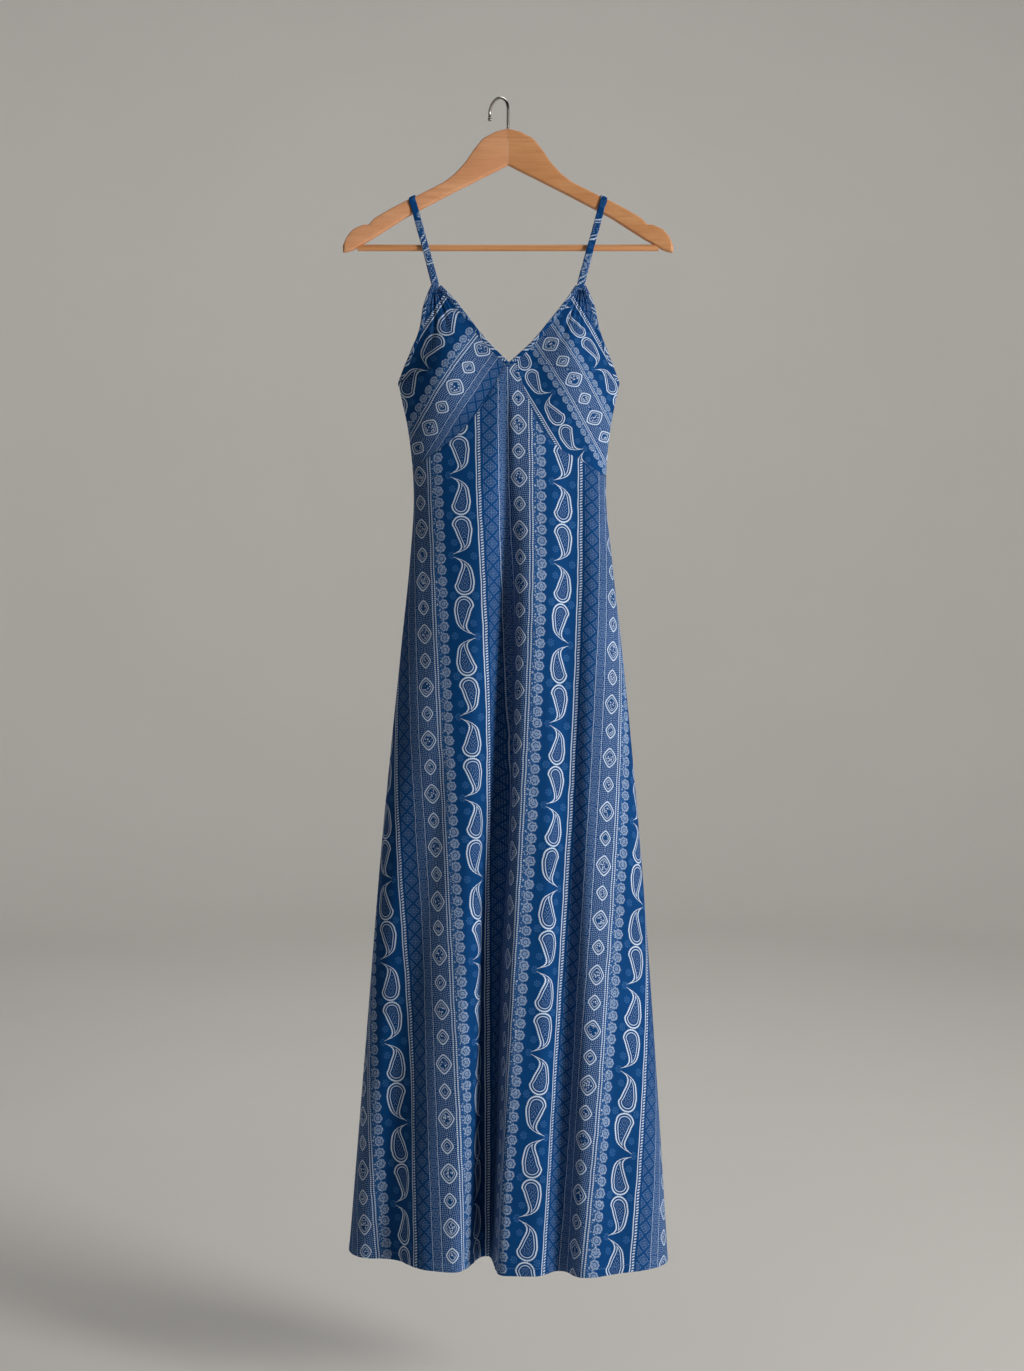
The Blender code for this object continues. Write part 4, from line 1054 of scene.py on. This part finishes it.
def medallion_stripe(t, place, v, dots):
    """Large and small rounded diamonds in turn, each outlined in white about a dotted heart, in
    rows of fine dots that follow their outlines like echoes."""
    across = off_line(t, place, MEDALLION_MIDDLE)
    number, down = in_row(t, v, DIAMOND_MIDDLE - DIAMOND_PITCH / 2, DIAMOND_PITCH)
    down = add(t, "Math", down, operation="ABSOLUTE")
    size = add(t, "Math", number, 2.0, operation="FLOORED_MODULO")
    size = add(t, "Math", size, -0.25, 1.0, operation="MULTIPLY_ADD")
    wide = add(t, "Math", across, DIAMOND_HALF_WIDE, operation="DIVIDE")
    wide = add(t, "Math", wide, DIAMOND_ROUND, operation="POWER")
    tall = add(t, "Math", down, DIAMOND_HALF_TALL, operation="DIVIDE")
    tall = add(t, "Math", tall, DIAMOND_ROUND, operation="POWER")
    reach = add(t, "Math", wide, tall, operation="ADD")
    reach = add(t, "Math", reach, 1 / DIAMOND_ROUND, operation="POWER")
    edge = add(t, "Math", reach, size, operation="SUBTRACT")
    edge = add(t, "Math", edge, 9.4, operation="MULTIPLY")
    line = add(t, "Math", edge, operation="ABSOLUTE")
    line = add(t, "MapRange", line, 0.55, 1.0, 0.95, 0.0)
    inner = add(t, "MapRange", off_line(t, edge, -2.7), 0.3, 0.7, 0.70, 0.0)
    inside = add(t, "MapRange", edge, -1.4, -0.9, 1.0, 0.0)
    heart = add(t, "MapRange", edge, -4.3, -3.7, 0.90, 0.0)
    heart = add(t, "Math", dots, heart, operation="MULTIPLY")
    outside = add(t, "MapRange", edge, 1.3, 1.8, 0.0, 1.0)
    slope = add(t, "Math", across, down, operation="SUBTRACT")
    echo = add(t, "Math", wave(t, edge, 3.8, "COSINE"), wave(t, slope, 4.4, "COSINE"), operation="MULTIPLY")
    echo = add(t, "MapRange", echo, 0.32, 0.64, 0.0, 0.50)
    echo = add(t, "Math", echo, outside, operation="MULTIPLY")
    band = add(t, "MapRange", across, 11.7, 12.2, 1.0, 0.0)
    echo = add(t, "Math", echo, band, operation="MULTIPLY")
    white = add(t, "Math", inner, heart, operation="MAXIMUM")
    white = add(t, "Math", line, white, operation="MAXIMUM")
    white = add(t, "Math", white, echo, operation="MAXIMUM")
    inside = add(t, "Math", inside, 0.02, operation="MULTIPLY")
    return white, add(t, "Math", outside, 0.05, inside, operation="MULTIPLY_ADD")


def dotted_stripe(t, place, v):
    """Two rows of fine beads with a dark line between them."""
    row = off_line(t, off_line(t, place, BEADS_MIDDLE), 2.0)
    row = add(t, "MapRange", row, 0.70, 1.10, 1.0, 0.0)
    bead = add(t, "Math", v, 1.35, operation="PINGPONG")
    bead = add(t, "MapRange", bead, 0.3, 0.7, 0.10, 1.0)
    return add(t, "Math", row, bead, operation="MULTIPLY"), 0.08


def border_stripe(t, place, v, cells, dots):
    """Close curling leaves, then a row of round flowers whose rims scallop the right edge."""
    down = add(t, "Math", v, SCALLOP_PITCH / 2, operation="PINGPONG")
    across = add(t, "Math", place, BORDER_FLOWERS, operation="SUBTRACT")
    rounds = flower(t, across, down, BORDER_RADIUS, 7.0)
    rounds = add(t, "Math", rounds, 0.44, operation="MULTIPLY")
    in_round = add(t, "MapRange", from_middle(t, across, down), 6.6, 7.0, 1.0, 0.0)
    body = add(t, "MapRange", across, -0.3, 0.3, 1.0, 0.0)
    within = add(t, "Math", in_round, body, operation="MAXIMUM")
    leaves = add(t, "MapRange", cells, 0.17, 0.25, 0.0, 0.88)
    veins = add(t, "Math", dots, 0.45, 0.55, operation="MULTIPLY_ADD")
    leaves = add(t, "Math", leaves, veins, operation="MULTIPLY")
    behind = add(t, "Math", leaves, 0.8, operation="MULTIPLY")
    rounds = add(t, "Math", rounds, behind, operation="MAXIMUM")
    white = add(t, "Mix", {0: in_round, 2: leaves, 3: rounds}, data_type="FLOAT")
    white = add(t, "Math", white, within, operation="MULTIPLY")
    left = add(t, "Math", place, BORDER_LEFT, operation="SUBTRACT")
    left = add(t, "MapRange", left, 0.3, 0.8, 0.0, 1.0)
    white = add(t, "Math", white, left, operation="MULTIPLY")
    return white, add(t, "Math", within, 0.20, operation="MULTIPLY")


def stripe_print(t):
    """How much white and how much pale blue the print lays on the cloth. The cloth is printed in
    stripes along its length; each stripe is worked out where it lies in the repeat."""
    uv = add(t, "UVMap", uv_map="cut_cloth")
    flat = add(t, "VectorMath", uv, (1000.0, 1000.0, 0.0), operation="MULTIPLY")
    drift = add(t, "TexNoise", {"Vector": flat, "Scale": 0.035, "Detail": 1.0}, out=1)
    drift = add(t, "VectorMath", drift, (0.5, 0.5, 0.5), operation="SUBTRACT")
    flat = add(t, "VectorMath", drift, (2.2, 2.2, 0.0), flat, operation="MULTIPLY_ADD")
    u = add(t, "SeparateXYZ", flat)
    v = u.node.outputs[1]
    place = add(t, "Math", u, PAISLEY_LEFT, operation="SUBTRACT")
    place = add(t, "Math", place, REPEAT, operation="FLOORED_MODULO")
    dots = add(t, "TexVoronoi", {"Vector": flat, "Scale": 0.38, "Randomness": 0.55})
    dots = add(t, "MapRange", dots, 0.30, 0.48, 1.0, 0.0)
    cells = {"Vector": flat, "Scale": 0.28, "Randomness": 0.9}
    cells = add(t, "TexVoronoi", cells, feature="DISTANCE_TO_EDGE")

    white, pale = paisley_stripe(t, place, v)
    stripes = [
        (ROPE_LEFT, rope_stripe(t, place, v)),
        (LATTICE_LEFT, lattice_stripe(t, place, v)),
        (RING_LEFT, ring_stripe(t, place, v, dots)),
        (MEDALLION_LEFT, medallion_stripe(t, place, v, dots)),
        (BEADS_LEFT, dotted_stripe(t, place, v)),
        (BORDER_LEFT, border_stripe(t, place, v, cells, dots)),
    ]
    for left, (next_white, next_pale) in stripes:
        reached = add(t, "Math", place, left, operation="GREATER_THAN")
        white = add(t, "Mix", {0: reached, 2: white, 3: next_white}, data_type="FLOAT")
        pale = add(t, "Mix", {0: reached, 2: pale, 3: next_pale}, data_type="FLOAT")
    return flat, white, pale


def hem_stitches(t, flat, cloth, normal):
    """The row of stitches that holds the hem's turn, in colour and in relief."""
    above = add(t, "Attribute", attribute_name="above_hem", out=2)
    line = add(t, "MapRange", off_line(t, above, HEM_TURN), 0.35, 0.75, 1.0, 0.0)
    stitch = add(t, "Math", add(t, "SeparateXYZ", flat), 1.5, operation="PINGPONG")
    stitch = add(t, "MapRange", stitch, 0.2, 0.5, 0.0, 1.0)
    stitch = add(t, "Math", line, stitch, operation="MULTIPLY")
    share = add(t, "Math", stitch, 0.5, operation="MULTIPLY")
    cloth = add(t, "Mix", {0: share, 6: cloth, 7: linear("#5d86bd")}, data_type="RGBA", out=2)
    normal = {"Strength": 0.6, "Distance": 0.0004, "Height": stitch, "Normal": normal}
    return cloth, add(t, "Bump", normal)


def printed_viscose(name, reverse=0.0, stitched=True, cover=1.0):
    """Plain-weave viscose printed in white and pale blue on deep blue: matt, with the soft bloom of
    its fine fibres at grazing angles. The reverse shows the print paler, through the cloth. The
    threads are drawn as coarse as they need to be to show."""
    finish, t = new_finish(name)
    flat, white, pale = stripe_print(t)
    white = add(t, "Math", white, cover, operation="MULTIPLY")
    pale = add(t, "Math", pale, cover * cover, operation="MULTIPLY")
    cloth = linear(PRINT_GROUND)
    for share, colour in ((pale, PRINT_PALE), (white, PRINT_WHITE), (reverse, PRINT_REVERSE)):
        if share:
            cloth = add(t, "Mix", {0: share, 6: cloth, 7: linear(colour)}, data_type="RGBA", out=2)
    tone = add(t, "TexNoise", {"Vector": flat, "Scale": 0.012, "Detail": 3.0})
    tone = add(t, "MapRange", tone, 0.3, 0.7, 0.90, 1.06)
    cloth = add(t, "VectorMath", cloth, None, None, tone, operation="SCALE")
    turns = 2 * math.pi / THREAD_PITCH
    threads = add(t, "VectorMath", flat, (turns, turns, 0.0), operation="MULTIPLY")
    threads = add(t, "SeparateXYZ", threads)
    weft, warp = [add(t, "Math", threads.node.outputs[k], operation="SINE") for k in (0, 1)]
    weave = add(t, "Math", weft, warp, operation="MULTIPLY")
    rumple = add(t, "TexNoise", {"Vector": flat, "Scale": 0.055, "Detail": 2.0})
    relief = add(t, "Math", rumple, 9.0, weave, operation="MULTIPLY_ADD")
    normal = add(t, "Bump", {"Strength": 0.35, "Distance": 0.00022, "Height": relief})
    if stitched:
        cloth, normal = hem_stitches(t, flat, cloth, normal)
    shader = add(t, "BsdfPrincipled", {
        "Base Color": cloth, "Roughness": 0.75, "IOR": 1.5, "Specular IOR Level": 0.10,
        "Sheen Weight": 0.05, "Sheen Roughness": 0.5, "Sheen Tint": linear("#8fb4e6"), "Normal": normal})
    add(t, "OutputMaterial", shader)
    return finish


def lacquered_beech(name, tone):
    """Beech under a thin clear lacquer: warm and even, with fine long grain and short dark flecks,
    and a soft shine from the lacquer."""
    finish, t = new_finish(name)
    place = add(t, "TexCoord", out=3)
    grain = add(t, "Mapping", place, None, None, (7.0, 330.0, 330.0), vector_type="POINT")
    grain = add(t, "TexNoise", {"Vector": grain, "Scale": 1.0, "Detail": 4.0, "Roughness": 0.6})
    rings = add(t, "Mapping", place, None, None, (3.0, 70.0, 70.0), vector_type="POINT")
    rings = add(t, "TexNoise", {"Vector": rings, "Scale": 1.0, "Detail": 2.0})
    flecks = add(t, "Mapping", place, None, None, (160.0, 900.0, 900.0), vector_type="POINT")
    flecks = add(t, "TexVoronoi", {"Vector": flecks, "Scale": 1.0})
    flecks = add(t, "MapRange", flecks, 0.10, 0.24, 0.28, 0.0)
    rings = add(t, "MapRange", rings, 0.35, 0.65, 0.0, 1.0)
    fine = add(t, "MapRange", grain, 0.42, 0.72, 0.0, 0.55)
    wood = linear(tone[0])
    for share, colour in ((rings, tone[1]), (fine, tone[2]), (flecks, "#9a6540")):
        wood = add(t, "Mix", {0: share, 6: wood, 7: linear(colour)}, data_type="RGBA", out=2)
    normal = add(t, "Bump", {"Strength": 0.25, "Distance": 0.0002, "Height": grain})
    shader = add(t, "BsdfPrincipled", {
        "Base Color": wood, "Roughness": 0.5, "IOR": 1.5, "Specular IOR Level": 0.35,
        "Coat Weight": 0.15, "Coat Roughness": 0.22, "Normal": normal})
    add(t, "OutputMaterial", shader)
    return finish


def plated_steel(name):
    """Bright plated steel wire: smooth, with faint drawing marks along it."""
    finish, t = new_finish(name)
    place = add(t, "TexCoord", out=3)
    marks = add(t, "TexNoise", {"Vector": place, "Scale": 420.0, "Detail": 3.0})
    rough = add(t, "MapRange", marks, 0.3, 0.7, 0.13, 0.28)
    tint = {0: marks, 6: linear("#b9b7b2"), 7: linear("#d2d0cb")}
    tint = add(t, "Mix", tint, data_type="RGBA", out=2)
    shader = add(t, "BsdfPrincipled", {"Base Color": tint, "Metallic": 1.0, "Roughness": rough})
    add(t, "OutputMaterial", shader)
    return finish


def pale_studio(name):
    """Matt pale studio paint, so faintly mottled that it reads as plain."""
    finish, t = new_finish(name)
    place = add(t, "TexCoord", out=3)
    mottle = add(t, "TexNoise", {"Vector": place, "Scale": 1.5, "Detail": 2.0})
    paint = {0: mottle, 6: linear("#dcdad6"), 7: linear("#e1dfdb")}
    paint = add(t, "Mix", paint, data_type="RGBA", out=2)
    shader = add(t, "BsdfPrincipled", {"Base Color": paint, "Roughness": 0.9})
    add(t, "OutputMaterial", shader)
    return finish


# Studio


def studio_floor(finish):
    """A round floor under the dress that rises in a soft curve far away on every side."""
    rise = np.linspace(0.12, math.pi / 2, 14)
    level = np.linspace(0.0, FLOOR_FLAT, 12)
    radius = np.concatenate([level, FLOOR_FLAT + FLOOR_CURVE * np.sin(rise), [FLOOR_FLAT + FLOOR_CURVE]])
    height = np.concatenate([0 * level, FLOOR_CURVE * (1 - np.cos(rise)), [FLOOR_TOP]])
    angle = np.linspace(0.0, 2 * np.pi, FLOOR_SIDES, endpoint=False)
    points = np.stack([radius[:, None] * np.cos(angle), radius[:, None] * np.sin(angle),
                       np.repeat(height[:, None] + FLOOR_Z, FLOOR_SIDES, 1)], -1)
    index = np.arange(points[..., 0].size).reshape(points.shape[:2])
    onward = np.roll(index, -1, axis=1)
    faces = np.stack([index[:-1], index[1:], onward[1:], onward[:-1]], -1).reshape(-1, 4)
    mesh = bpy.data.meshes.new("studio_floor")
    mesh.from_pydata(points.reshape(-1, 3), [], faces[FLOOR_SIDES:])
    cap = bpy.data.meshes.new("studio_floor_middle")
    cap.from_pydata(points[1], [], [list(range(FLOOR_SIDES))])
    for part in (mesh, cap):
        part.materials.append(finish)
        part.shade_smooth()
        thing = bpy.data.objects.new(part.name, part)
        bpy.context.scene.collection.objects.link(thing)


def soft_light(name, place, target, size, power, colour):
    lamp = bpy.data.lights.new(name, "AREA")
    lamp.shape = "DISK"
    lamp.size = size
    lamp.energy = power
    lamp.color = colour
    thing = bpy.data.objects.new(name, lamp)
    thing.location = place
    thing.rotation_euler = (Vector(target) - Vector(place)).to_track_quat("-Z", "Y").to_euler()
    bpy.context.scene.collection.objects.link(thing)


def studio_light():
    """One broad soft lamp from the viewer's right, a weak one from the left, one behind the dress
    that turns to the backdrop, and a little even sky."""
    soft_light("key", (2.8, -2.05, -0.10), (0.0, 0.0, -0.85), 1.0, 95.0, (1.0, 0.98, 0.95))
    soft_light("fill", (-2.6, -2.8, -0.2), (0.0, 0.0, -0.8), 2.0, 1.5, (0.93, 0.96, 1.0))
    soft_light("backdrop", (0.0, 1.3, 2.4), (0.0, 4.4, -1.4), 2.8, 80.0, (1.0, 0.99, 0.97))
    sky = bpy.data.worlds.new("studio_air")
    sky.use_nodes = True
    sky.node_tree.nodes["Background"].inputs["Color"].default_value = (0.93, 0.95, 1.0, 1.0)
    sky.node_tree.nodes["Background"].inputs["Strength"].default_value = 0.016
    bpy.context.scene.world = sky


def camera():
    """Level with the skirt's upper part, 2.7 m in front of the hanger; the frame is 1371 rows tall."""
    lens = bpy.data.cameras.new("camera")
    lens.sensor_fit = "VERTICAL"
    lens.sensor_height = SENSOR
    lens.lens = SENSOR * CAMERA_DISTANCE / (ROWS * ROW_SIZE)
    lens.shift_y = (LEVEL_ROW - ROWS / 2) / ROWS
    view = bpy.data.objects.new("camera", lens)
    place = HANGING_POINT + np.array([CAMERA_X, -CAMERA_DISTANCE, -CAMERA_DROP])
    view.location = place * MM
    view.rotation_euler = (math.pi / 2, 0.0, 0.0)
    bpy.context.scene.collection.objects.link(view)
    bpy.context.scene.camera = view


# All together


def carried(piece, slot, *nodes):
    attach(piece, "root")
    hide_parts(*nodes)
    return piece


def dress():
    face = printed_viscose("printed_viscose_face")
    back = printed_viscose("printed_viscose_reverse", reverse=0.45)
    trim = printed_viscose("printed_viscose_binding", stitched=False, cover=0.85)
    cloths = [face, back]

    for side, word in ((-1, "left"), (1, "right")):
        piece, wide, tall, area = cup(side, "cup_" + word + "_cloth", cloths)
        carried(piece, "dress_cloth", "front_cup_" + word)
        neck = front_binding("neck_binding_" + word + "_cloth", side, neck_curve, 0.9, [trim])
        carried(neck, "dress_trim", "neck_binding_" + word)
        arm = front_binding("armhole_binding_" + word + "_cloth", side, arm_curve, 0.2, [trim])
        carried(arm, "dress_trim", "armhole_binding_" + word)
        band, length = strap(side, "strap_" + word + "_cloth", [trim])
        carried(band, "dress_trim", "strap_" + word)
    rim = carried(back_binding([trim]), "dress_trim", "back_binding")
    front, wide, tall, area = skirt_front(cloths)
    carried(front, "dress_cloth", "front_skirt_left", "front_skirt_right")
    rear, wide, tall, area = skirt_back(cloths)
    carried(rear, "dress_cloth", "back_panel_left", "back_panel_right")


def hanger():
    # Both arms are the same beech in two tones. The left arm's is painted lighter and the right arm's (which
    # the bar shares) darker: painted light and painted shade for how the lamp from the right falls on each
    # arm.
    left = lacquered_beech("lacquered_beech_left_painted_lit", ("#e2a173", "#eaae82", "#cd8b60"))
    right = lacquered_beech("lacquered_beech_right_painted_shaded", ("#dc9a66", "#e5a672", "#c6834f"))
    steel = plated_steel("plated_steel")
    carried(hanger_arm(-1, "hanger_arm_left_wood", left), "hanger_wood", "hanger_arm_left")
    carried(hanger_arm(1, "hanger_arm_right_wood", right), "hanger_wood", "hanger_arm_right")
    carried(hanger_hook(steel), "hanger_steel", "hanger_hook")
    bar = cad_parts["hanger_bar"]
    bar.data.materials.clear()
    bar.data.materials.append(right)


hanger()
dress()
studio_floor(pale_studio("pale_studio_paint"))
studio_light()
camera()
bpy.context.scene.view_settings.view_transform = "Standard"
